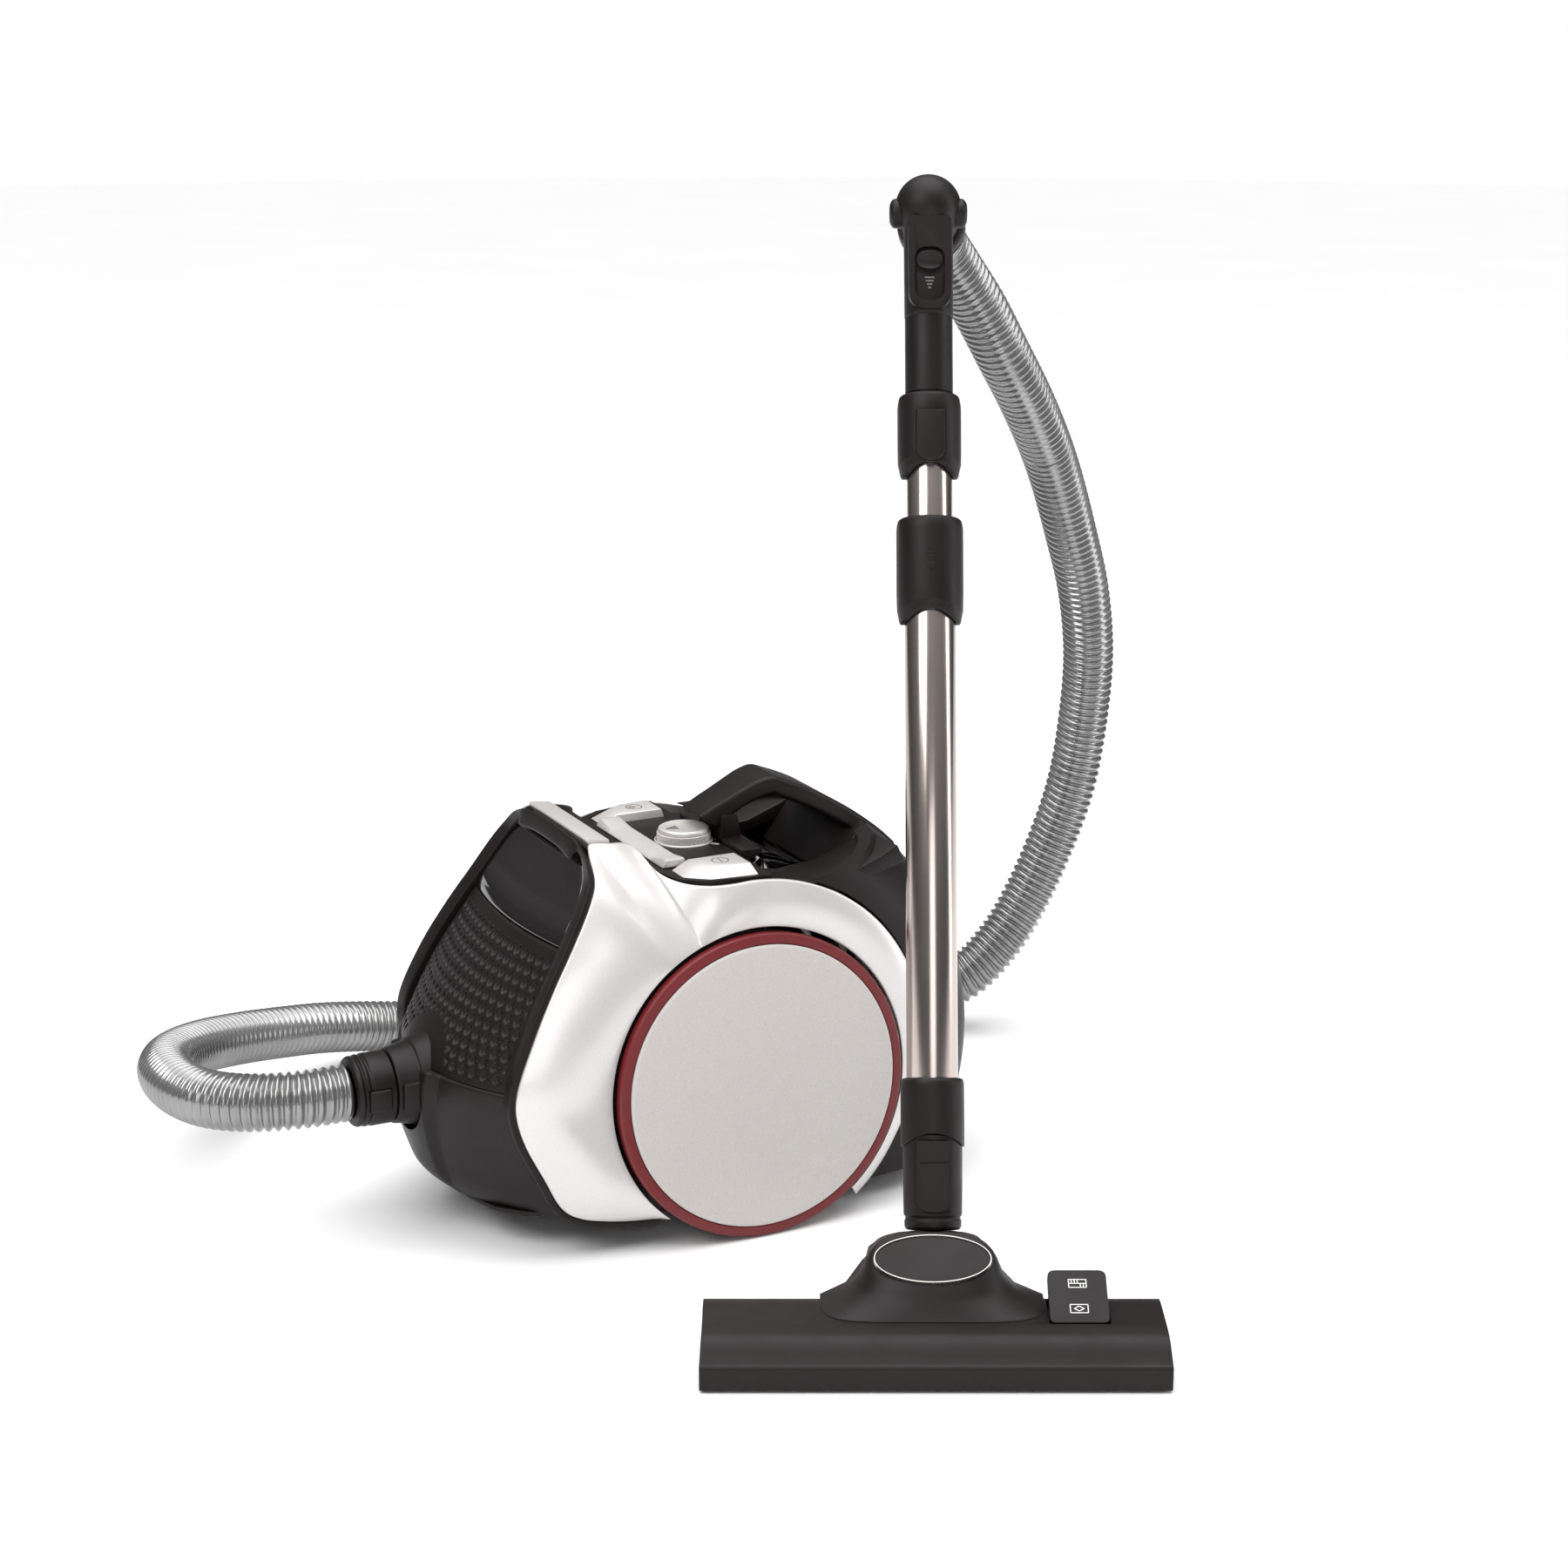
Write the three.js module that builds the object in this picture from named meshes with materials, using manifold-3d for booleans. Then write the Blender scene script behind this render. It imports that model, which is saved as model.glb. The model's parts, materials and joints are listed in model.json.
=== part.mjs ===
// Compact bagless canister vacuum cleaner with its hose, telescopic wand and floor head.
// Millimetres. +X is the canister's front, where the hose leaves, +Y its left side, +Z is up, and the floor is z = 0.
import * as THREE from "three";
import { mergeVertices } from "three/addons/utils/BufferGeometryUtils.js";
import Module from "manifold-3d";

const wasm = await Module();
wasm.setup();

// ---------- driving dimensions ----------
const AXLE_Z = 104; // height of the two big wheels' centres
const WHEEL_R = 104;
const CAMBER = THREE.MathUtils.degToRad(4); // both wheels lean in at the top
const WHEEL_B = 120; // half track, at the outer edge of the red rim
const REAR_R = 187; // the rear body is a barrel about the axle
const GAP = 0.4; // between neighbouring pieces
const BODY_LOW = 15; // underside of the canister above the floor
const CONTAINER_B = 50; // half width of the clear dust container
const NECK_Z = 101; // axis of the hose inlet
const DIAL_R = 18.5;
const HOSE_R = 19.5;
const HOSE_WALL = 3;
const HOSE_SIDES = 8;
const WAND_TURN = THREE.MathUtils.degToRad(153.5); // the head faces away from the canister's side
const WAND_LEAN = THREE.MathUtils.degToRad(21.2);
const NECK = new THREE.Vector3(160, -242, 64.6); // where distances along the wand start, in the head's own axes
const TILT_DOWN = 10; // the tilt hinge lies this far below it
const HEAD_HALF = 142; // half width of the floor head
const TUBE_R = 16.2;
const INNER_R = 14.6;

// ---------- materials ----------
const finish = (color, roughness, metalness = 0) =>
  new THREE.MeshStandardMaterial({ color, roughness, metalness });
const white = finish(0xdedad8, 0.3, 0.15);
const black = finish(0x2c2726, 0.5);
const gloss = finish(0x1b1817, 0.15);
const silver = finish(0xb4b0ad, 0.35, 0.6);
const steel = finish(0xa8a19c, 0.25, 1);
const red = finish(0x8c2f36, 0.4);
const discGrey = finish(0xcfcac8, 0.6);
const rubber = finish(0x1c1c1c, 0.9);
const clear = finish(0xd8dcdc, 0.05);
clear.transparent = true;
clear.opacity = 0.35;
const hoseGrey = finish(0x777777, 0.35, 0.3);
const bristle = finish(0x151515, 1);
const filterWhite = finish(0xe6e4de, 0.9);

// ---------- geometry helpers ----------
const deg = THREE.MathUtils.degToRad;
const V = (x, y, z) => new THREE.Vector3(x, y, z);

// A closed mesh's shared vertices merged, with its faces turned outwards.
function faceOut(geometry) {
  const bare = new THREE.BufferGeometry().setAttribute("position", geometry.getAttribute("position"));
  if (geometry.index) bare.setIndex(geometry.index);
  const merged = mergeVertices(bare, 1e-4);
  const p = merged.getAttribute("position");
  const index = Array.from(merged.index.array);
  const [a, b, c] = [V(), V(), V()];
  let volume = 0;
  for (let i = 0; i < index.length; i += 3) {
    a.fromBufferAttribute(p, index[i]);
    b.fromBufferAttribute(p, index[i + 1]);
    c.fromBufferAttribute(p, index[i + 2]);
    volume += a.dot(b.cross(c));
  }
  if (volume < 0) index.reverse();
  merged.setIndex(index);
  return merged;
}

function solidOf(geometry) {
  const g = faceOut(geometry);
  return new wasm.Manifold(
    new wasm.Mesh({
      numProp: 3,
      vertProperties: new Float32Array(g.attributes.position.array),
      triVerts: new Uint32Array(g.index.array),
    }),
  );
}

function geometryOf(solid) {
  const mesh = solid.getMesh();
  return new THREE.BufferGeometry()
    .setAttribute("position", new THREE.BufferAttribute(new Float32Array(mesh.vertProperties), 3))
    .setIndex(new THREE.BufferAttribute(new Uint32Array(mesh.triVerts), 1));
}

const cut = (geometry, ...tools) =>
  geometryOf(tools.reduce((solid, tool) => solid.subtract(solidOf(tool)), solidOf(geometry)));
const join = (geometry, ...others) =>
  geometryOf(others.reduce((solid, other) => solid.add(solidOf(other)), solidOf(geometry)));
const common = (geometry, other) => geometryOf(solidOf(geometry).intersect(solidOf(other)));

// A skin through rings of equal length, open ended with flat caps, or closed into a loop.
function loft(rings, loop = false) {
  const n = rings[0].length;
  const points = rings.flat();
  const index = [];
  const last = loop ? rings.length : rings.length - 1;
  for (let i = 0; i < last; i++)
    for (let j = 0; j < n; j++) {
      const [a, b] = [i * n + j, i * n + ((j + 1) % n)];
      const [c, d] = [((i + 1) % rings.length) * n + j, ((i + 1) % rings.length) * n + ((j + 1) % n)];
      index.push(a, b, d, a, d, c);
    }
  if (!loop) {
    index.push(...capOf(rings[0], 0, true), ...capOf(rings.at(-1), (rings.length - 1) * n, false));
  }
  const g = new THREE.BufferGeometry().setFromPoints(points);
  g.setIndex(index);
  return g;
}

// The triangles that close one ring, found in the ring's own plane.
function capOf(ring, first, reversed) {
  const centre = ring.reduce((sum, p) => sum.add(p), V(0, 0, 0)).divideScalar(ring.length);
  const normal = V(0, 0, 0);
  ring.forEach((p, i) => {
    const q = ring[(i + 1) % ring.length];
    normal.add(p.clone().sub(centre).cross(q.clone().sub(centre)));
  });
  const turn = new THREE.Quaternion().setFromUnitVectors(normal.normalize(), V(0, 0, 1));
  const flat = ring.map((p) => p.clone().sub(centre).applyQuaternion(turn));
  const faces = THREE.ShapeUtils.triangulateShape(flat.map((p) => new THREE.Vector2(p.x, p.y)), []);
  return faces.flatMap(([a, b, c]) => (reversed ? [c, b, a] : [a, b, c]).map((k) => k + first));
}

const shapeOf = (points) => new THREE.Shape(points.map(([x, y]) => new THREE.Vector2(x, y)));

// A plan outline (x, y) raised from z0 to z1.
function plan(points, z0, z1) {
  const g = new THREE.ExtrudeGeometry(shapeOf(points), { depth: z1 - z0, bevelEnabled: false, curveSegments: 12 });
  return g.translate(0, 0, z0);
}

// A side outline (x, z) carried across from y0 to y1.
function side(points, y0, y1) {
  const g = new THREE.ExtrudeGeometry(shapeOf(points), { depth: y1 - y0, bevelEnabled: false, curveSegments: 12 });
  return g.rotateX(Math.PI / 2).translate(0, y1, 0);
}

// A turned piece about Z: its profile is [radius, height] pairs and starts and ends on the axis or closes.
function turned(profile, segments = 32) {
  const points = profile.map(([r, h]) => new THREE.Vector2(r, h));
  return new THREE.LatheGeometry(points, segments).rotateX(Math.PI / 2);
}

// The same with a bore right through, so that its profile closes on itself.
const turnedRing = (profile, segments = 32) => turned([...profile, profile[0]], segments);

const box = (x0, x1, y0, y1, z0, z1) =>
  new THREE.BoxGeometry(x1 - x0, y1 - y0, z1 - z0).translate((x0 + x1) / 2, (y0 + y1) / 2, (z0 + z1) / 2);

const rod = (r, z0, z1, segments = 24) =>
  new THREE.CylinderGeometry(r, r, z1 - z0, segments).rotateX(Math.PI / 2).translate(0, 0, (z0 + z1) / 2);

const alongX = (g) => g.rotateY(Math.PI / 2);
const alongY = (g) => g.rotateX(-Math.PI / 2);

// An arc of side points about the axle, from one angle to another, in degrees.
function arc(radius, from, to, steps) {
  return Array.from({ length: steps + 1 }, (_, i) => {
    const t = deg(from + ((to - from) * i) / steps);
    return [radius * Math.cos(t), AXLE_Z + radius * Math.sin(t)];
  });
}

const model = new THREE.Group();
function add(name, geometry, material, parent = model) {
  const mesh = new THREE.Mesh(faceOut(geometry), material);
  mesh.name = name;
  parent.add(mesh);
  return mesh;
}

// ---------- wheels ----------
function wheel(name, s) {
  const hub = new THREE.Group();
  const lift = WHEEL_R * Math.cos(CAMBER) + 0.6;
  hub.position.set(0, s * WHEEL_B, lift);
  hub.rotation.x = s * CAMBER; // local +Y points inwards on the right wheel, so profiles carry the sign
  model.add(hub);
  const about = (profile) => new THREE.LatheGeometry(profile.map(([r, y]) => new THREE.Vector2(r, y * s)), 40);
  add(`${name}_wheel_rim`, about([[6.4, -16], [13, -16], [14, -4], [84, -4], [87, -16], [90, -16], [98, -13],
    [102.5, -9], [104, -6], [104, -0.5], [103, 0.8], [97, 1.4], [97, 0], [6.4, 0], [6.4, -16]]), red, hub);
  add(`${name}_wheel_tyre`, about([[99, -19.4], [101.6, -19.4], [102.6, -17.5], [102.9, -10.4],
    [99, -13.3], [99, -19.4]]), rubber, hub);
  add(`${name}_wheel_cover`, about([[0, 0.3], [96.5, 0.3], [96.5, 1.8], [95, 2.6], [60, 3.1], [0, 3.4]]),
    discGrey, hub);
  add(`${name}_axle`, about([[0, -36], [6, -36], [6, -0.6], [0, -0.6]]), steel, hub);
}
wheel("left", 1);
wheel("right", -1);

// ---------- canister shells ----------
// The painted side shell's outline: forward, height, and half width of the body there.
const shellFront = [[72, 20, 112], [100, 22, 109], [127, 28, 106.5], [139, 36, 105.5], [152, 60, 106],
  [166, 89, 107], [171, 109, 107.5], [169.5, 124, 107], [155, 157, 103], [137, 188, 96.5], [121, 212, 90.5],
  [106, 236, 83], [100, 247, 76], [97, 262, 60], [94, 266, 54.5], [80, 265, 54.5], [65, 262, 53],
  [54, 247, 75], [43, 242, 88], [28, 240.5, 98], [12, 241, 102.5]];
const SHELL_INNER_R = 107;
const shellRearR = (t) => (t < 150 ? 138 - 6 * ((t - 90) / 60) ** 2 : 132 - 13.5 * Math.min(1, (t - 150) / 55));
const shellOutline = [
  ...shellFront,
  ...Array.from({ length: 18 }, (_, i) => {
    const t = 91 + (141 * i) / 17;
    const r = shellRearR(t);
    return [r * Math.cos(deg(t)), AXLE_Z + r * Math.sin(deg(t)), 104 + Math.max(0, t - 100) * 0.08];
  }),
];
function shell(name, s) {
  const across = 4;
  const thick = 3;
  const rings = shellOutline.map(([x, z, b]) => {
    const t = Math.atan2(z - AXLE_Z, x);
    const inner = V(SHELL_INNER_R * Math.cos(t), 0, AXLE_Z + SHELL_INNER_R * Math.sin(t));
    inner.y = WHEEL_B - 4 - (inner.z - AXLE_Z) * Math.tan(CAMBER);
    const outer = V(x, b, z);
    const reach = outer.distanceTo(inner);
    const crown = Math.min(5, reach * 0.07);
    const skin = Array.from({ length: across + 1 }, (_, i) => {
      const u = i / across;
      return inner.clone().lerp(outer, u).add(V(0, crown * 4 * u * (1 - u), 0));
    });
    const back = skin.map((p) => p.clone().sub(V(0, thick, 0))).reverse();
    return [...skin, ...back].map((p) => V(p.x, p.y * s, p.z));
  });
  add(name, loft(rings), white);
}
shell("left_shell", 1);
shell("right_shell", -1);

// Black shoulders of the barrel, from the dust container out to the painted shells.
// Beside the carrying handle they are cut down to a low ledge, which leaves room for the fingers.
const scoop = side([[-10, 310], [-10, 241], [-42, 236], [-72, 238.5], [-96, 248], [-104, 262], [-100, 310]], -110, 110);
const ledge = (s) => side([[-19, 227], [-19, 235], [-42, 231], [-72, 233.5], [-98, 243], [-112, 250], [-118, 238],
  [-98, 232], [-72, 226]], s > 0 ? 52.6 : -97, s > 0 ? 97 : -52.6);
function shoulder(name, s) {
  const rings = Array.from({ length: 24 }, (_, i) => {
    const t = 98.5 + (139 * i) / 23;
    const foot = shellRearR(t) + 1.6;
    const section = [[52.6, REAR_R], [70, REAR_R - 4.5], [87, REAR_R - 16], [99, REAR_R - 34], [104, foot],
      [97, foot], [92, REAR_R - 36], [82, REAR_R - 23], [68, REAR_R - 13], [52.6, REAR_R - 9]];
    return section.map(([y, r]) => V(r * Math.cos(deg(t)), y * s, AXLE_Z + r * Math.sin(deg(t))));
  });
  const barrel = common(loft(rings), box(-300, 300, -200, 200, BODY_LOW, 400));
  add(name, join(cut(barrel, scoop), ledge(s)), black);
}
shoulder("left_rear_cover", 1);
shoulder("right_rear_cover", -1);

// ---------- lower housing ----------
const containerSpace = box(-200, -36, -51.4, 51.4, 53, 200);
const tub = side([[-148, 56], [-120, 26], [-72, 15], [112, 17], [119, 26], [130, 62], [137, 100], [-158, 100],
  [-158, 84]], -94, 94);
const tubHollow = side([[-144, 58], [-118, 30], [-71, 19], [110, 21], [116, 28], [126, 63], [133, 120],
  [-154, 120], [-154, 85]], -90, 90);
const rearCorner = (s) => box(-200, -95, s > 0 ? 78 : -100, s > 0 ? 100 : -78, 0, 120);
const axleHole = (s) =>
  alongY(rod(6.4, -20, 20)).rotateX(s * CAMBER).translate(0, s * 92, WHEEL_R * Math.cos(CAMBER) + 0.6 - 2.03);
add("lower_housing", cut(tub, tubHollow, containerSpace, axleHole(1), axleHole(-1), rearCorner(1), rearCorner(-1)),
  black);

const rearPlate = side([...arc(REAR_R, 196.5, 237, 8), ...arc(REAR_R - 9, 237, 196.5, 8)], -52.2, 52.2);
const cableHole = alongX(rod(7.4, -30, 30)).translate(-178, 24, 40);
add("rear_plate", common(cut(rearPlate, cableHole), box(-300, 300, -60, 60, BODY_LOW, 400)), black);
add("cable_outlet_bush", alongX(turnedRing([[4, -9], [7, -9], [7, 2], [10, 2], [10, 5], [4, 5]], 20))
  .rotateY(Math.PI).translate(-177, 24, 40), rubber);

// ---------- front ----------
// Stations up one side: forward, height, half width, and the way the frame faces there.
const UP = [0.87, 0.5];
const DOWN = [0.93, -0.36];
const frameSide = [[72, 20, 112, [0.05, -1]], [100, 22, 109, [0.15, -0.99]], [127, 28, 106.5, [0.45, -0.89]],
  [139, 36, 105.5, DOWN], [152, 60, 106, DOWN], [166, 89, 107, DOWN], [171, 109, 107.5, [1, -0.1]],
  [169.5, 124, 107, [0.95, 0.3]], [155, 157, 103, UP], [137, 188, 96.5, UP], [121, 212, 90.5, UP],
  [106, 236, 83, UP], [100, 247, 76, UP], [97.6, 259, 60, UP]];
function frameSection([x, z, b, [nx, nz]], bar) {
  // distances ahead of the painted shell's edge, and in from the outer edge
  // under the shell the frame is a shallow sill that clears the wheel and the lower housing
  const [back, deep] = x < 138 && z < 40 ? [-3, 11] : [-8, 13];
  const corners = [[0.6, 0.3], [4.5, 0.3], [5, 1.2], [4, deep - 0.5], [back, deep], [back, 7], [0.6, 7]];
  return corners.map(([ahead, inwards]) => {
    const drop = bar ? inwards * 0.9 : 0;
    return V(x + nx * ahead + drop * 0.5, bar ? b : b - inwards, z + nz * ahead - drop * 0.87);
  });
}
function frameRings() {
  const half = [
    ...frameSide.map((station) => frameSection(station, false)),
    ...[[96.4, 264.2, 46], [96, 265.8, 24], [96, 266.4, 0]].map(([x, z, b]) => frameSection([x, z, b, UP], true)),
  ];
  const mirrored = half.slice(0, -1).reverse().map((ring) => ring.map((p) => V(p.x, -p.y, p.z)));
  return [...half, ...mirrored];
}
add("front_frame", loft(frameRings()), black);

// The front face between the frame's sides: half width and place of its edge at a height, and its crown.
const faceRows = [[256, 98.5, 49, 2], [249, 102, 58.6, 3], [236, 108.5, 68.6, 5], [212, 123, 76.2, 7], [188, 139, 81.5, 11],
  [157, 157, 88, 19], [124, 171, 92, 30], [109, 172.5, 92.5, 34], [89, 168, 92, 39], [73, 161, 91.5, 44],
  [55, 152.5, 91, 48], [36, 143, 90.5, 50], [22, 132, 89, 47]];
function faceAt(z) {
  const i = Math.max(1, faceRows.findIndex(([h]) => h <= z));
  const [upper, lower] = [faceRows[i - 1], faceRows[i]];
  const u = (upper[0] - z) / (upper[0] - lower[0]);
  return upper.map((value, k) => value + (lower[k] - value) * u);
}
function facePanel(levels, depth) {
  const rings = levels.map((level) => {
    const [z, x, w, crown] = faceAt(level);
    const front = Array.from({ length: 13 }, (_, i) => {
      const u = -1 + i / 6;
      return V(x + crown * (1 - u * u), w * u, z);
    });
    const back = front.map((p) => V(p.x - depth, p.y, p.z)).reverse();
    return [...front, ...back];
  });
  return loft(rings);
}
const neckHole = alongX(rod(32, 120, 260, 32)).translate(0, 0, NECK_Z);
add("front_panel", facePanel([250.4, 243, 236, 222, 206], 4), gloss);
add("exhaust_grille", cut(facePanel([205, 188, 172, 157, 140, 118], 5), neckHole), black);
const castorHole = rod(5.4, 10, 40, 20).translate(152, 0, 0);
const bumperShell = cut(facePanel([117, 109, 89, 73, 55, 36, 22], 5), neckHole);
const bumperFloor = cut(plan([[131, -80], [150, -78], [168, -58], [177, -28], [179, 0], [177, 28], [168, 58],
  [150, 78], [131, 80]], 22, 26), castorHole);
add("front_bumper", join(bumperShell, bumperFloor), black);
add("trim_band", side([[79, 263], [79, 267], [94, 269], [95.2, 267.6], [88.5, 257], [84, 257]], -50.8, 50.8),
  silver);

// ---------- hose inlet ----------
const neckBore = 17;
add("hose_inlet_neck", alongX(turnedRing([[neckBore, 178], [31.4, 178], [31.4, 200], [29.5, 208], [26, 216],
  [25, 221.6], [neckBore, 221.6]])).translate(0, 0, NECK_Z), black);
const CUFF = [222, 247.6];
const cuff = alongX(turnedRing([[neckBore, CUFF[0]], [24.5, CUFF[0]], [24.5, 240], [22.5, 243], [22.5, CUFF[1]],
  [neckBore, CUFF[1]]])).translate(0, 0, NECK_Z);
const latchSlot = (s) => box(225.6, 241.4, s > 0 ? 20.4 : -40, s > 0 ? 40 : -20.4, NECK_Z - 7.4, NECK_Z + 7.4);
add("hose_cuff", cut(cuff, latchSlot(1), latchSlot(-1)), black);
for (const [name, s] of [["left", 1], ["right", -1]])
  add(`${name}_cuff_latch`, box(226, 241, s > 0 ? 21.8 : -26.5, s > 0 ? 26.5 : -21.8, NECK_Z - 7, NECK_Z + 7), black);

// ---------- castor ----------
const CASTOR_X = 152;
const forkTop = turned([[0, 19], [14, 19], [14, 21.5], [5, 21.5], [5, 29], [0, 29]], 24).translate(CASTOR_X, 0, 0);
const cheek = (s) => box(CASTOR_X - 13, CASTOR_X + 5, s > 0 ? 7.6 : -9.6, s > 0 ? 9.6 : -7.6, 6, 19.5);
const castorPin = alongY(rod(2, -9, 9, 16)).translate(CASTOR_X - 6, 0, 9);
add("castor_fork", join(forkTop, cheek(1), cheek(-1), castorPin), black);
add("castor_wheel", alongY(turnedRing([[2.4, -7], [7, -7], [8.6, -5.4], [9, -3], [9, 3], [8.6, 5.4], [7, 7],
  [2.4, 7]], 24)).translate(CASTOR_X - 6, 0, 9), rubber);

// ---------- control deck ----------
const deckPlan = [[78, 48], [66, 47], [53, 68], [43, 82], [28, 92], [0, 97.5], [-17, 98.5]];
const deckOutline = [...deckPlan, ...deckPlan.map(([x, y]) => [x, -y]).reverse()];
const deckBlock = common(plan(deckOutline, 200, 300),
  side([[-17, 226], [-17, 243], [44, 243], [52, 246], [66, 260], [78, 262], [78, 250], [58, 226]], -110, 110));
const dialWell = rod(DIAL_R + 2, 238.6, 300, 32).translate(2, 0, 0);
const dialBore = rod(5.4, 200, 300, 20).translate(2, 0, 0);
const keyWell = (s) => plan([[38.6, 57.4], [38.6, 79], [23.6, 91], [-10.6, 94.6], [-10.6, 57.4]].map(([x, y]) =>
  [x, y * s]), 229, 300);
add("control_deck", cut(deckBlock, dialWell, dialBore, keyWell(1), keyWell(-1)), black);
const fascia = loft([
  [[43.4, -56], [43.4, 56], [26, 56], [24, 24], [24, -24], [26, -56]].map(([x, y]) => V(x, y, 243.4)),
  [[41, -56], [41, 56], [28, 56], [27, 24], [27, -24], [28, -56]].map(([x, y]) => V(x, y, 248.5)),
]);
add("control_fascia", cut(fascia, dialWell), silver);
// A foot key: faceted cap that stands proud of the deck.
function footKey(name, s) {
  const foot = [[38, 58], [38, 78.6], [23.2, 90.4], [-10, 94], [-10, 58]];
  const cap = [[26, 58], [25, 72], [14, 82], [-8, 84.5], [-8, 58]];
  const rings = [[foot, 235], [foot, 242], [cap, 248.8]].map(([ring, z]) => ring.map(([x, y]) => V(x, y * s, z)));
  add(name, loft(rings), silver);
}
footKey("power_key", 1);
footKey("rewind_key", -1);
add("power_dial", turned([[0, 228], [5, 228], [5, 239.2], [DIAL_R, 239.2], [DIAL_R, 251], [DIAL_R - 1.5, 252.6],
  [0, 252.6]], 36).translate(2, 0, 0), silver);

// ---------- dust container, with the lid and carrying handle that lift out with it ----------
const CLEAR_TOP = 141; // radius of the container's domed top under the handle
const canOutline = [...arc(REAR_R, 140, 195, 12), [-176, 55], [-42, 55], ...arc(CLEAR_TOP, 104, 136, 8)];
const canInner = [...arc(REAR_R - 3, 142.5, 193.5, 12), [-172, 58], [-45, 58], ...arc(CLEAR_TOP - 3, 104.5, 139, 8)];
const inletHole = alongX(rod(16, -80, -20)).translate(0, 0, 190);
add("dust_container", cut(side(canOutline, -CONTAINER_B, CONTAINER_B),
  side(canInner, -CONTAINER_B + 2.6, CONTAINER_B - 2.6), inletHole), clear);
add("cyclone_core", turned([[0, 62], [12, 62], [24, 90], [24, 150], [34, 153], [34, 172], [0, 172]], 28)
  .translate(-88, 0, 0), black);
const LID_R = REAR_R - 1;
const lidFront = join(side([[-18, 236], [-18, 246], [-33, 246], [-34, 242.6]], -50, 50),
  side([[-18, 240], [-18, 262], [-30, 262], [-33.4, 245]], -18, 18));
const lidRear = side([...arc(LID_R, 126, 139, 5), ...arc(CLEAR_TOP + 1.5, 135.6, 126, 4)], -52, 52);
const grip = side([[-20, 252], [-2, 262], [-24, 273], [-46, 283.5], [-57, 285.5], ...arc(REAR_R + 3, 110, 136, 7),
  ...arc(REAR_R - 12, 134, 108, 7), [-38, 268]], -20, 20);
add("container_lid", join(lidFront, lidRear, grip), black);

// ---------- inside the canister ----------
add("blower_motor", alongY(turned([[0, -56], [20, -56], [20, -44], [44, -42], [44, 20], [52, 22], [52, 50],
  [12, 50], [12, 58], [0, 58]], 28)).translate(64, 0, 92), steel);
add("cable_reel", alongY(turnedRing([[8, -14], [54, -14], [54, -11], [30, -11], [30, 11], [54, 11], [54, 14],
  [8, 14]], 28)).translate(-92, -72, 108), black);
add("fine_dust_filter", alongX(turned([[0, 0], [30, 0], [30, 26], [0, 26]], 24)).translate(-34, 0, 130),
  filterWhite);

// ---------- wand and floor head ----------
const headGroup = new THREE.Group();
headGroup.rotation.z = WAND_TURN;
model.add(headGroup);
const [HX, HY] = [158, -342]; // middle and front edge of the head
const headSection = [[-1.5, 1.2], [-1.5, 16], [0.5, 17.6], [4, 20], [11, 27.4], [16, 29.4], [26, 31], [60, 31],
  [70, 28.5], [76, 23], [79, 12], [78, 1.2]];
const across = (points, x0, x1) => {
  // points are [back from the front edge, height]
  const g = side(points, -x1, -x0);
  return g.rotateZ(Math.PI / 2).translate(HX, HY, 0);
};
const crossBox = (x0, x1, y0, y1, z0, z1) => box(HX + x0, HX + x1, HY + y0, HY + y1, z0, z1);
const slots = [crossBox(-128, 128, 10.6, 15.4, -1, 18), crossBox(-128, 128, 56.6, 61.4, -1, 18)];
const mouth = crossBox(-118, 118, 24, 46, -1, 15);
const pedalWell = crossBox(70, 107, 29, 67, 22.5, 80);
add("head_body", cut(across(headSection, -HEAD_HALF, HEAD_HALF), ...slots, mouth, pedalWell),
  black, headGroup);
const bristleBlock = (y) => crossBox(-126, 126, y, y + 4, 0.4, 12);
add("front_bristles", bristleBlock(11), bristle, headGroup);
add("rear_bristles", bristleBlock(57), bristle, headGroup);

// The flared hood over the neck: plan outlines that shrink as they climb.
// Each row: height, half width, front edge and back edge.
const hoodRows = [[31.4, 69, 30, 120], [33.5, 61, 32, 120], [36.5, 54, 34.5, 120], [41, 48.5, 38, 118],
  [47, 44, 42.5, 112], [51.5, 42, 46.8, 106], [57, 39.6, 55.8, 97], [62.5, 36, 65, 88], [66.5, 30.5, 71.6, 82],
  [69, 22, 75.2, 79], [69.6, 14, 76, 78.5]];
const hoodRings = hoodRows.map(([z, half, front, back]) => {
  const widest = Math.max(Math.min(70, back - 1.5), front + 0.8);
  const nose = Array.from({ length: 13 }, (_, i) => {
    const t = Math.PI * (1 - i / 12);
    const c = Math.cos(t);
    return V(HX + half * Math.sign(c) * Math.abs(c) ** 0.8, HY + widest - (widest - front) * Math.sin(t) ** 0.8, z);
  });
  return [...nose, V(HX + half * 0.8, HY + back, z), V(HX - half * 0.8, HY + back, z)];
});
const PIVOT = V(NECK.x, NECK.y - TILT_DOWN * Math.sin(WAND_LEAN), NECK.z - TILT_DOWN * Math.cos(WAND_LEAN));
const hoodTail = crossBox(-24, 24, 80.8, 120, 12, 42);
const ballPocket = new THREE.SphereGeometry(17.6, 20, 12).translate(PIVOT.x, PIVOT.y, PIVOT.z);
const pocketMouth = rod(19.4, 58, 120, 32).translate(PIVOT.x, PIVOT.y, 0);
const neckSlot = box(PIVOT.x - 21, PIVOT.x + 21, PIVOT.y, PIVOT.y + 60, 43, 120);
add("head_cover", cut(join(loft(hoodRings), hoodTail), ballPocket, pocketMouth, neckSlot), black, headGroup);

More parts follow.
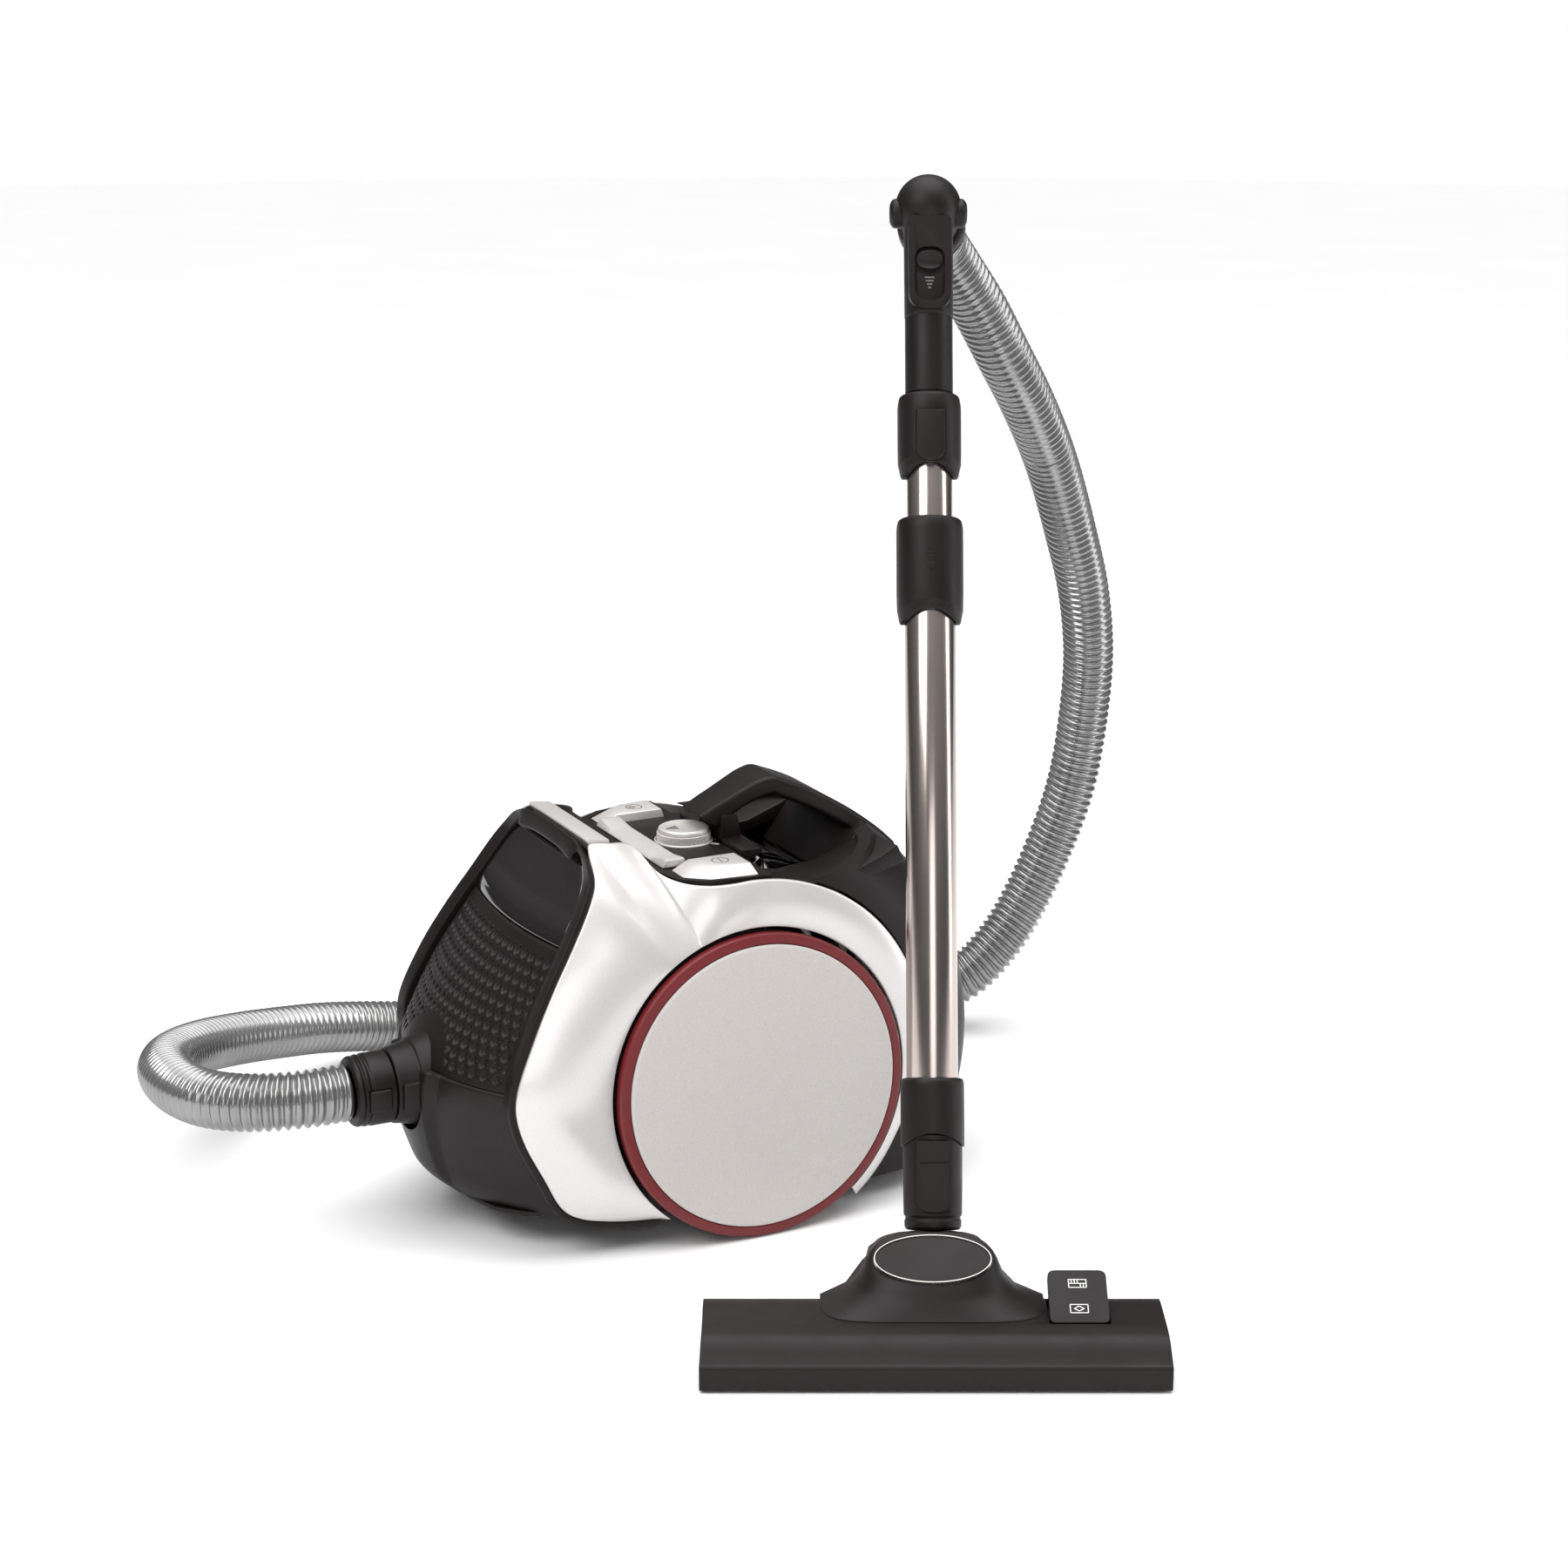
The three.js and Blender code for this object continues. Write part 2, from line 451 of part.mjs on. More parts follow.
// The oval badge lies on the hood's front slope.
const badgePlace = new THREE.Group();
badgePlace.position.set(HX, HY + 59.6, 62.4);
badgePlace.rotation.x = deg(31);
headGroup.add(badgePlace);
const badgeShape = new THREE.Shape().absellipse(0, 0, 36.3, 17.8, 0, Math.PI * 2);
add("badge_plate", new THREE.ExtrudeGeometry(badgeShape, { depth: 2.4, bevelEnabled: false, curveSegments: 16 }),
  silver, badgePlace);

const pedalProfile = [[30.5, 26], [30.2, 30.6], [33, 33], [62, 50], [65, 49], [65, 26]];
add("mode_pedal", across(pedalProfile, 70.4, 106.6), black, headGroup);
for (const [name, x] of [["left", -34], ["right", 34]])
  add(`${name}_head_roller`, alongX(turned([[0, -6], [7.6, -6], [9, -4], [9, 4], [7.6, 6], [0, 6]], 20))
    .translate(HX + x, HY + 104, 9), rubber, headGroup);

const wand = new THREE.Group();
wand.position.copy(NECK);
wand.rotation.x = -WAND_LEAN;
headGroup.add(wand);
// Distances along the wand from its reference point.
const COLLAR = [56.5, 91];
const SLEEVE = [378, 446];
const SOCKET = [472, 526.8];
const ball = common(new THREE.SphereGeometry(16, 20, 12).translate(0, 0, -TILT_DOWN), rod(30, -40, -4.3));
add("neck_elbow", join(ball, rod(9.8, -TILT_DOWN, 44)), black, wand);
const connector = turnedRing([[10.2, -3.5], [17.2, -3.5], [18.2, 0], [18.4, 4], [18.6, 20], [18.7, 56],
  [10.2, 56]]);
add("neck_connector", cut(connector, box(-11, 11, -30, -15, 7.5, 52.5)), black, wand);
add("neck_latch", box(-10.6, 10.6, -20.4, -16.8, 8, 52), black, wand);
add("lower_collar", turnedRing([[TUBE_R + GAP, COLLAR[0]], [19.6, COLLAR[0]], [20, 60], [20, 89], [19.4, 91],
  [TUBE_R + GAP, COLLAR[1]]]), black, wand);
add("outer_tube", turnedRing([[TUBE_R - 1, 57], [TUBE_R, 57], [TUBE_R, 440], [TUBE_R - 1, 440]], 28), steel, wand);
add("telescope_sleeve", turnedRing([[TUBE_R + GAP, SLEEVE[0]], [19.4, SLEEVE[0]], [19.8, 382], [21.4, 390],
  [21.4, 442], [20, SLEEVE[1]], [TUBE_R + GAP, SLEEVE[1]]]), black, wand);
add("inner_tube", turnedRing([[INNER_R - 0.9, 112], [INNER_R, 112], [INNER_R, 500], [INNER_R - 0.9, 500]], 28),
  steel, wand);
const socket = turnedRing([[INNER_R + GAP, SOCKET[0]], [18.6, SOCKET[0]], [20.4, 477], [20.4, 522], [19.4, SOCKET[1]],
  [INNER_R + GAP, SOCKET[1]]]);
add("coupling_socket", cut(socket, box(-9.4, 9.4, -30, -17.4, 480.6, 513.4)), black, wand);
add("socket_latch", box(-9, 9, -22.4, -18.6, 481, 513), black, wand);

// The handle: a straight spigot tube that swells into a domed head with two round bosses.
const HEAD_S = 650;
const handleRows = [[527.5, 15.4, 15.4], [577, 15.4, 15.4], [579, 15.6, 17], [600, 15.7, 17.4], [630, 15.9, 17.8],
  [638, 17.5, 18.2], [644, 20.3, 20.3], [HEAD_S, 21.2, 21.2], [656, 20.3, 20.3], [662, 17.5, 17.5],
  [667, 12.6, 12.6], [670.2, 6.5, 6.5], [671.2, 1.5, 1.5]];
const handleRings = handleRows.map(([s, rx, ry]) =>
  Array.from({ length: 24 }, (_, i) => V(rx * Math.cos(deg(15 * i)), ry * Math.sin(deg(15 * i)), s)));
const spigot = rod(INNER_R - 0.4, 502, 530);
const bosses = alongX(rod(9.5, -25, 25)).translate(0, 0, HEAD_S - 4);
// The outlet points away and a little down, behind the handle.
const OUTLET = V(0.1, 0.91, -0.4).normalize();
const outletAlong = OUTLET.clone().applyAxisAngle(V(1, 0, 0), WAND_LEAN);
const outletTurn = new THREE.Quaternion().setFromUnitVectors(V(0, 0, 1), outletAlong);
const fromOutlet = (g) => g.applyQuaternion(outletTurn).translate(0, 0, HEAD_S);
const outlet = fromOutlet(rod(17.5, 0, 29.6));
const swivelSeat = fromOutlet(rod(23, 29.7, 80));
const sliderWell = box(-9.4, 9.4, -30, -14.2, 586, 619);
add("wand_handle", cut(join(loft(handleRings), spigot, bosses, outlet), sliderWell, swivelSeat), black, wand);
add("suction_slider", box(-9, 9, -18.8, -14.6, 604, 618), black, wand);
add("hose_end_swivel", fromOutlet(turned([[0, 30], [21, 30], [22.4, 33], [22.4, 45], [20.4, 47.4], [0, 47.4]], 24)),
  black, wand);

// ---------- hose ----------
// From the cuff it turns away, comes down to the floor behind the canister and climbs to the handle.
const hoseRoute = [[249.6, 0, 101], [257, 0, 101], [271, -0.2, 101], [287, -3, 100.7], [305, -11.5, 99.6], [321, -25, 98.2],
  [333, -43, 96.7], [340, -68, 94.6], [341, -98, 91.5], [336, -131, 87], [324, -163, 81], [305, -193, 74],
  [280, -221, 66], [248, -247, 57],
  [213, -269, 48], [177, -286, 40], [142, -297, 32], [104, -301, 25], [58, -299, 21], [8, -293, 20], [-45, -282, 20],
  [-98, -267, 20], [-150, -248, 20], [-200, -225, 20.5], [-246, -201, 22.5], [-284, -180, 29], [-316, -164, 43],
  [-344, -158, 70], [-367, -155, 105], [-386, -150, 150], [-398, -143, 196], [-403, -136, 250], [-400, -126, 305],
  [-386, -113, 358], [-363, -96, 407], [-329, -70, 466], [-290, -40, 516], [-253.9, -17.5, 558.7],
  [-226.9, -4.7, 593], [-203.5, 5.4, 618.5], [-181.1, 18.8, 640], [-169, 32.5, 647.5], [-164.3, 39.9, 651.2]];
const hoseCurve = new THREE.CatmullRomCurve3(hoseRoute.map((p) => V(...p)), false, "centripetal");
const HOSE_CUTS = [0, 0.67, 0.85, 1]; // shares of the hose's length where its three lengths meet
const HOSE_STEPS = [38, 10, 8];
const HOSE_NAMES = ["hose_lower", "hose_middle", "hose_upper"];
const hoseSection = (r) => Array.from({ length: HOSE_SIDES }, (_, i) => {
  const t = (2 * Math.PI * i) / HOSE_SIDES;
  return new THREE.Vector2(r * Math.cos(t), r * Math.sin(t));
});
HOSE_NAMES.forEach((name, k) => {
  const trim = (2 * GAP) / hoseCurve.getLength();
  const from = HOSE_CUTS[k] + (k ? trim : 0);
  const to = HOSE_CUTS[k + 1] - (k < 2 ? trim : 0);
  const path = new THREE.Curve();
  path.getPoint = (t) => hoseCurve.getPointAt(from + (to - from) * t);
  const ring = new THREE.Shape(hoseSection(HOSE_R));
  ring.holes.push(new THREE.Path(hoseSection(HOSE_R - HOSE_WALL)));
  add(name, new THREE.ExtrudeGeometry(ring, { steps: HOSE_STEPS[k], extrudePath: path, bevelEnabled: false }), hoseGrey);
});

// The origin is the middle of the floor under everything but the hose.
const extent = new THREE.Box3();
model.updateMatrixWorld(true);
model.traverse((o) => {
  if (o.isMesh && !HOSE_NAMES.includes(o.name)) extent.expandByObject(o, true);
});
const middle = extent.getCenter(V());
model.position.set(-middle.x, -middle.y, -extent.min.z);

export default model;
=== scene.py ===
"""Looks of a compact bagless canister vacuum cleaner with hose, telescopic wand and floor head.

Lengths are in millimetres along the canister's own axes (+X front, +Y left, +Z up, wheel axle over the
origin) and are turned into the row frame's metres by the matrices CAN, HEAD and WAND.
"""
import json
from math import atan2, copysign, cos, hypot, pi, radians, sin, tan

import bmesh
import bpy
import numpy as np
from mathutils import Matrix, Vector


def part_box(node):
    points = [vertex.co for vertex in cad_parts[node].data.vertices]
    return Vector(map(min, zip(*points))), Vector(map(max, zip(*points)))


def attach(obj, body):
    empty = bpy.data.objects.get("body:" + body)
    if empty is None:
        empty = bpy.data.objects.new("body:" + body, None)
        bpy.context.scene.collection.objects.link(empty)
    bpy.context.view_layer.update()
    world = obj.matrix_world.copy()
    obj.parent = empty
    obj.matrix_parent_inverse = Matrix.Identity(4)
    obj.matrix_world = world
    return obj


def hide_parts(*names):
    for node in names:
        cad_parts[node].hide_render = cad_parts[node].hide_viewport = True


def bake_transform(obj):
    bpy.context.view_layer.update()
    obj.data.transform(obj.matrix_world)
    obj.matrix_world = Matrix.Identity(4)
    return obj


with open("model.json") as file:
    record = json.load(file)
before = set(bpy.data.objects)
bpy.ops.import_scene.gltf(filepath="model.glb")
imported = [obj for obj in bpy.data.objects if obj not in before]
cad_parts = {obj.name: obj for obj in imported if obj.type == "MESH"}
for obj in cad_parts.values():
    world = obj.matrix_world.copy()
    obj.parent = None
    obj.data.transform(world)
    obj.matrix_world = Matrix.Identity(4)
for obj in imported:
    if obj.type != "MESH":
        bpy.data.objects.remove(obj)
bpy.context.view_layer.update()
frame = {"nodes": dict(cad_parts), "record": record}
record = frame["record"]
BODY_OF = {node: body for body, nodes in record["behaviour"]["bodies"].items() for node in nodes}
SLOT_OF = {part["node"]: part["material_slot"] for part in record["subparts"]}
# A piece that stands for no node is black plastic on the chassis, unless its call says otherwise.
BODY_OF[None], SLOT_OF[None] = "chassis", "black_plastic"
SIDES = (("left", 1), ("right", -1))

# ------------------------ axes
def middle(node):
    low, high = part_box(node)
    return (low + high) / 2


def shift(x, y, z):
    return Matrix.Translation((x, y, z))


def spin(angle, axis):
    return Matrix.Rotation(angle, 4, axis)


LEFT_RIM, RIGHT_RIM = middle("left_wheel_rim"), middle("right_wheel_rim")
ORIGIN = Vector((LEFT_RIM.x, (LEFT_RIM.y + RIGHT_RIM.y) / 2, 0))
NECK = (160, -242, 64.6)  # where distances along the wand start; the tilt hinge is 10 mm below it
LEAN = radians(21.2)
METRES = 0.001  # in a millimetre
CAN = Matrix.Translation(ORIGIN) @ Matrix.Scale(METRES, 4)
HEAD = CAN @ spin(radians(153.5), "Z")
WAND = HEAD @ Matrix.Translation(NECK) @ spin(-LEAN, "X")
AXLE = 104  # height of the wheels' axle
REAR_R = 187  # radius of the rear bodywork about that axle
INLET_Z = 101  # height of the hose inlet
CASTOR_X = 152
DIAL_X = 2


# ------------------------ materials
def settle(node, values):
    for socket, value in values.items():
        node.inputs[socket].default_value = value


def material(name, base, rough, metal=0.0, coat=0.0, coat_rough=0.05, specular=0.5, grain=0.0,
             grain_scale=900, rough_spread=0.0, tint=0.0, tint_scale=60, flake=0.0, brushed=False):
    """A moulded, painted or polished surface: mottle in its colour, grain in its bump and roughness."""
    m = bpy.data.materials.new(name)
    m.use_nodes = True
    tree = m.node_tree
    new, link = tree.nodes.new, tree.links.new
    shader = tree.nodes["Principled BSDF"]
    settle(shader, {"Metallic": metal, "Coat Weight": coat, "Coat Roughness": coat_rough, "Roughness": rough,
                    "Specular IOR Level": specular, "Base Color": (*base, 1)})
    place = new("ShaderNodeTexCoord").outputs["Object"]
    if brushed:
        mapping = new("ShaderNodeMapping")
        settle(mapping, {"Scale": (1, 1, 0.03)})
        link(place, mapping.inputs["Vector"])
        place = mapping.outputs["Vector"]

    def noise(scale, detail=2.0):
        node = new("ShaderNodeTexNoise")
        settle(node, {"Scale": scale, "Detail": detail})
        link(place, node.inputs["Vector"])
        return node.outputs["Fac"]

    def spread(value, low, high):
        node = new("ShaderNodeMapRange")
        settle(node, {"From Min": 0.3, "From Max": 0.7, "To Min": low, "To Max": high})
        link(value, node.inputs["Value"])
        return node.outputs["Result"]

    if tint or flake:
        mix = new("ShaderNodeMix")
        mix.data_type = "RGBA"
        depth = tint or flake
        settle(mix, {"A": (*[c * (1 - depth) for c in base], 1),
                     "B": (*[min(1, c * (1 + depth)) for c in base], 1)})
        link(spread(noise(1500 if flake else tint_scale), 0, 1), mix.inputs["Factor"])
        link(mix.outputs["Result"], shader.inputs["Base Color"])
    if rough_spread:
        link(spread(noise(35, 4), rough - rough_spread, rough + rough_spread), shader.inputs["Roughness"])
    if grain:
        bump = new("ShaderNodeBump")
        settle(bump, {"Strength": grain, "Distance": 0.0004})
        link(noise(grain_scale), bump.inputs["Height"])
        link(bump.outputs["Normal"], shader.inputs["Normal"])
    return m


def clear_material():
    """The slightly smoky clear plastic of the dust container."""
    m = bpy.data.materials.new("clear_smoke")
    m.use_nodes = True
    settle(m.node_tree.nodes["Principled BSDF"],
           {"Base Color": (0.62, 0.60, 0.60, 1), "Roughness": 0.02, "IOR": 1.49, "Transmission Weight": 1.0})
    return m


MATERIALS = {
    "black_plastic": material("black_plastic", (0.0072, 0.0046, 0.0046), 0.46, specular=0.26, grain=0.16,
                              grain_scale=1700, rough_spread=0.05, tint=0.08, tint_scale=25),
    "gloss_black": material("gloss_black", (0.010, 0.008, 0.008), 0.10, coat=0.6, rough_spread=0.02),
    "shell_white": material("shell_white", (0.68, 0.66, 0.65), 0.30, metal=0.35, coat=0.6, coat_rough=0.12,
                            flake=0.05, grain=0.02, grain_scale=1500),
    "silver_paint": material("silver_paint", (0.62, 0.59, 0.575), 0.40, metal=0.35, flake=0.07, grain=0.05,
                             grain_scale=1500),
    "steel": material("steel", (0.50, 0.435, 0.405), 0.19, metal=1.0, brushed=True, grain=0.02,
                      grain_scale=260, rough_spread=0.03),
    "motor_case": material("motor_case", (0.45, 0.45, 0.45), 0.45, metal=1.0, grain=0.1, rough_spread=0.05),
    "red_rim": material("red_rim", (0.15, 0.012, 0.015), 0.45, specular=0.4, grain=0.05, grain_scale=1400,
                        rough_spread=0.04, tint=0.05),
    "disc_grey": material("disc_grey", (0.54, 0.51, 0.49), 0.52, grain=0.35, grain_scale=1100, flake=0.10,
                          rough_spread=0.03),
    "rubber": material("rubber", (0.010, 0.0095, 0.0095), 0.75, specular=0.3, grain=0.3, grain_scale=1200,
                       tint=0.1),
    "hose_grey": material("hose_grey", (0.28, 0.278, 0.278), 0.22, metal=0.75, grain=0.05, grain_scale=800,
                          rough_spread=0.05, tint=0.08, tint_scale=30),
    "bristle": material("bristle", (0.012, 0.012, 0.012), 0.85, grain=0.8, grain_scale=2200, tint=0.2),
    "filter_white": material("filter_white", (0.72, 0.71, 0.67), 0.9, grain=0.4, tint=0.05),
    "clear_plastic": clear_material(),
}
MARK_WHITE = material("mark_white", (0.72, 0.72, 0.72), 0.5, grain=0.05, tint=0.03)
MARK_DARK = material("mark_dark", (0.045, 0.040, 0.038), 0.5, grain=0.05, tint=0.05)
MARK_GREY = material("mark_grey", (0.16, 0.15, 0.148), 0.5, grain=0.05, tint=0.05)
CHROME = material("chrome_ring", (0.40, 0.385, 0.375), 0.28, metal=1.0, rough_spread=0.03)

for name, node in frame["nodes"].items():
    node.data.materials.clear()
    node.data.materials.append(MATERIALS[SLOT_OF[name]])


# ------------------------ shape helpers
def arr(points):
    return [np.array(p, float) for p in points]


def clamp(value):
    return min(1, max(0, value))


def oblong(x0, x1, y0, y1):
    return [(x0, y0), (x1, y0), (x1, y1), (x0, y1)]


MOST_OF_AN_EDGE, LEAST_RADIUS = 0.46, 0.02


def fillet(points, radius, steps=4):
    """A polyline with its corners rounded; radius may be one number or one for each corner."""
    pts = arr(points)
    n = len(pts)
    radii = radius if hasattr(radius, "__len__") else [radius] * n
    out = []
    for i, b in enumerate(pts):
        a, c = pts[i - 1], pts[(i + 1) % n]
        la, lc = np.linalg.norm(a - b), np.linalg.norm(c - b)
        d = min(radii[i], MOST_OF_AN_EDGE * la, MOST_OF_AN_EDGE * lc)
        if d < LEAST_RADIUS:
            out.append(b)
            continue
        p, q = b + (a - b) * d / la, b + (c - b) * d / lc
        for k in range(steps + 1):
            t = k / steps
            out.append((1 - t) ** 2 * p + 2 * t * (1 - t) * b + t * t * q)
    return out


def spline(points, count, dims=3):
    """count even points on a centripetal Catmull-Rom curve; rows may hold more than their place."""
    p = np.array(points, float)
    step = np.sqrt(np.maximum(np.linalg.norm(np.diff(p[:, :dims], axis=0), axis=1), 1e-9))
    t = np.concatenate([[0], np.cumsum(step)])
    slope = np.diff(p, axis=0) / step[:, None]
    m = np.empty_like(p)
    m[1:-1] = (slope[:-1] * step[1:, None] + slope[1:] * step[:-1, None]) / (step[:-1] + step[1:])[:, None]
    m[0], m[-1] = slope[0], slope[-1]
    fine = np.linspace(0, t[-1], max(60 * len(p), 6 * count))
    k = np.clip(np.searchsorted(t, fine, side="right") - 1, 0, len(p) - 2)
    h = step[k][:, None]
    u = ((fine - t[k]) / step[k])[:, None]
    q = ((2 * u**3 - 3 * u**2 + 1) * p[k] + (u**3 - 2 * u**2 + u) * h * m[k]
         + (3 * u**2 - 2 * u**3) * p[k + 1] + (u**3 - u**2) * h * m[k + 1])
    run = np.concatenate([[0], np.cumsum(np.linalg.norm(np.diff(q[:, :dims], axis=0), axis=1))])
    even = np.linspace(0, run[-1], count)
    return np.stack([np.interp(even, run, q[:, j]) for j in range(q.shape[1])], axis=1)


def refine(rings, count):
    """More rings, in between, on a smooth run through the ones given."""
    grid = np.array(rings, float)
    rows = np.concatenate([grid.mean(axis=1), grid.reshape(len(grid), -1)], axis=1)
    return spline(rows, count)[:, 3:].reshape(count, grid.shape[1], 3)


def loft(rings, loop=False):
    """A skin through rings of equal length: open with flat ends, or closed on itself."""
    grid = np.array(rings, float)
    m, n = grid.shape[:2]
    faces = []
    for i in range(m if loop else m - 1):
        for j in range(n):
            a, b = i * n + j, i * n + (j + 1) % n
            c, d = ((i + 1) % m) * n + j, ((i + 1) % m) * n + (j + 1) % n
            faces.append((a, c, d, b))
    if not loop:
        faces.append(tuple(range(n)))
        faces.append(tuple(range((m - 1) * n, m * n))[::-1])
    return grid.reshape(-1, 3), faces


def turned(profile, segments=96, radius_at=None):
    """Turned about Z from closed [radius, height] points; radius_at(angle, radius, height) may shift it."""
    faces, verts = [], []
    n = len(profile)
    for i in range(segments):
        t = 2 * pi * i / segments
        for r, h in profile:
            r = max(r, 0.0) + (radius_at(t, r, h) if radius_at else 0)
            verts.append((r * cos(t), r * sin(t), h))
    for i in range(segments):
        for j in range(n):
            a, b = i * n + j, i * n + (j + 1) % n
            c, d = ((i + 1) % segments) * n + j, ((i + 1) % segments) * n + (j + 1) % n
            faces.append((a, b, d, c))
    return np.array(verts), faces


def prism(outline, low, high):
    """An outline (x, y) raised along Z."""
    ring = np.array([(x, y, 0) for x, y in outline], float)
    return loft([ring + np.array([0, 0, low]), ring + np.array([0, 0, high])])


def side(outline, y0, y1):
    """An outline (x, z) carried across from y0 to y1."""
    ring = np.array([(x, 0, z) for x, z in outline], float)
    return loft([ring + np.array([0, y0, 0]), ring + np.array([0, y1, 0])])


def arc(radius, start, end, steps):
    return [(radius * cos(radians(start + (end - start) * i / steps)),
             AXLE + radius * sin(radians(start + (end - start) * i / steps))) for i in range(steps + 1)]


def block(x0, x1, y0, y1, z0, z1):
    return prism([(x0, y0), (x1, y0), (x1, y1), (x0, y1)], z0, z1)


def oval(rx, ry, count=40, power=2.0, cx=0.0, cy=0.0):
    out = []
    for i in range(count):
        t = 2 * pi * i / count
        c, s = cos(t), sin(t)
        out.append((cx + rx * copysign(abs(c) ** (2 / power), c),
                    cy + ry * copysign(abs(s) ** (2 / power), s)))
    return out


def rod(radius, low, high, segments=48):
    return prism(oval(radius, radius, segments), low, high)


def moved(shape, matrix):
    verts, faces = shape
    full = np.array(matrix)
    return verts @ full[:3, :3].T + full[:3, 3], faces


def merged(*shapes):
    verts, faces, start = [], [], 0
    for v, f in shapes:
        verts.append(np.asarray(v, float))
        faces += [tuple(i + start for i in face) for face in f]
        start += len(v)
    return np.concatenate(verts), faces


ALONG_X = spin(pi / 2, "Y")
ALONG_Y = spin(-pi / 2, "X")


def placed(name, data):
    made = bpy.data.objects.new(name, data)
    bpy.context.scene.collection.objects.link(made)
    return made


WELD = 2e-6  # points nearer than this, in metres, are one


def bare(name, shape, at):
    """A clean mesh object, in metres, from a shape in the millimetres of the axes given."""
    verts, faces = shape
    mesh = bpy.data.meshes.new(name)
    full = np.array(at)
    world = np.asarray(verts, float) @ full[:3, :3].T + full[:3, 3]
    mesh.from_pydata(world.tolist(), [], faces)
    mesh.validate()
    made = placed(name, mesh)
    bpy.context.view_layer.objects.active = made
    b = bmesh.new()
    b.from_mesh(mesh)
    bmesh.ops.remove_doubles(b, verts=b.verts, dist=WELD)
    bmesh.ops.recalc_face_normals(b, faces=b.faces)
    b.to_mesh(mesh)
    b.free()
    return made


def applied(made):
    depsgraph = bpy.context.evaluated_depsgraph_get()
    mesh = bpy.data.meshes.new_from_object(made.evaluated_get(depsgraph))
    made.modifiers.clear()
    made.data = mesh


def piece(name, shape, at=CAN, node=None, body=None, slot=None, finish=None, bevel=0.0, bevel_steps=3,
          cuts=(), adds=(), crease=32, flat=False):
    """A finished piece: cut and joined, its edges rounded, given its material and put on its body."""
    made = bare(name, shape, at)
    for operation, shapes in (("UNION", adds), ("DIFFERENCE", cuts)):
        for i, other in enumerate(shapes):
            tool = bare(f"{name}_tool", other, at)
            cutter = made.modifiers.new(f"{operation}{i}", "BOOLEAN")
            cutter.operation = operation
            cutter.solver = "EXACT"
            cutter.object = tool
            applied(made)
            bpy.data.objects.remove(tool)
    if bevel:
        rounder = made.modifiers.new("edges", "BEVEL")
        rounder.width = bevel * METRES
        rounder.segments = bevel_steps
        rounder.limit_method = "ANGLE"
        rounder.angle_limit = radians(30)
        rounder.miter_outer = "MITER_ARC"
        rounder.use_clamp_overlap = True
        applied(made)
    if not flat:
        made.data.shade_smooth()
        made.data.set_sharp_from_angle(angle=radians(crease))
    key = slot or SLOT_OF[node]
    made.data.materials.clear()
    made.data.materials.append(finish or MATERIALS[key])
    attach(made, body or BODY_OF[node])
    if node:
        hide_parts(node)
    return made


# ------------------------ camera, lights and floor
lens = bpy.data.cameras.new("camera")
lens.lens = 70
lens.sensor_width = 36
lens.clip_end = 50
camera = placed("camera", lens)
camera.location = CAN @ Vector((833.3, 1821.5, 845))
camera.rotation_euler = Vector((-0.4295, -0.8615, -0.2706)).to_track_quat("-Z", "Y").to_euler()
bpy.context.scene.camera = camera


def lamp(name, place, size, power):
    data = bpy.data.lights.new(name, "AREA")
    data.shape = "RECTANGLE"
    data.size, data.size_y = size
    data.energy = power
    made = placed(name, data)
    made.location = place
    made.rotation_euler = (centre - made.location).to_track_quat("-Z", "Y").to_euler()


def seen(right, away, up):
    """A point so many metres right of, away from and above the origin, as the camera sees it."""
    return HEAD @ Vector((right * 1000, away * 1000, up * 1000))


centre = seen(-0.05, 0, 0.25)
lamp("key", seen(-1.3, -1.5, 2.1), (1.5, 1.2), 30)
lamp("top", seen(0.1, 0.3, 2.3), (2.4, 1.8), 16)
overhead = bpy.data.lights.new("overhead", "SUN")
overhead.energy = 2.2
overhead.angle = radians(70)
placed("overhead", overhead)
lamp("right_strip", seen(1.7, -0.1, 0.9), (0.4, 1.8), 9)
lamp("front_fill", seen(0.25, -2.6, 0.9), (1.0, 1.2), 9)
bpy.context.scene.view_settings.view_transform = "Standard"

# The studio: grey low down and light above for reflections, plain white where the camera sees past the floor.
world = bpy.data.worlds.new("studio")
world.use_nodes = True
bpy.context.scene.world = world
studio = world.node_tree
new, link = studio.nodes.new, studio.links.new
lit = studio.nodes["Background"]
settle(lit, {"Strength": 0.42})
split = new("ShaderNodeSeparateXYZ")
ramp = new("ShaderNodeValToRGB")
link(new("ShaderNodeTexCoord").outputs["Generated"], split.inputs["Vector"])
link(split.outputs["Z"], ramp.inputs["Fac"])
link(ramp.outputs["Color"], lit.inputs["Color"])
ramp.color_ramp.elements[0].color = (0.10, 0.10, 0.10, 1)
ramp.color_ramp.elements[1].position = 0.7
ramp.color_ramp.elements[1].color = (0.95, 0.95, 0.95, 1)
plain = new("ShaderNodeBackground")
settle(plain, {"Strength": 1.0, "Color": (1, 1, 1, 1)})
choose = new("ShaderNodeMixShader")
link(new("ShaderNodeLightPath").outputs["Is Camera Ray"], choose.inputs["Fac"])
link(lit.outputs["Background"], choose.inputs[1])
link(plain.outputs["Background"], choose.inputs[2])
link(choose.outputs["Shader"], studio.nodes["World Output"].inputs["Surface"])

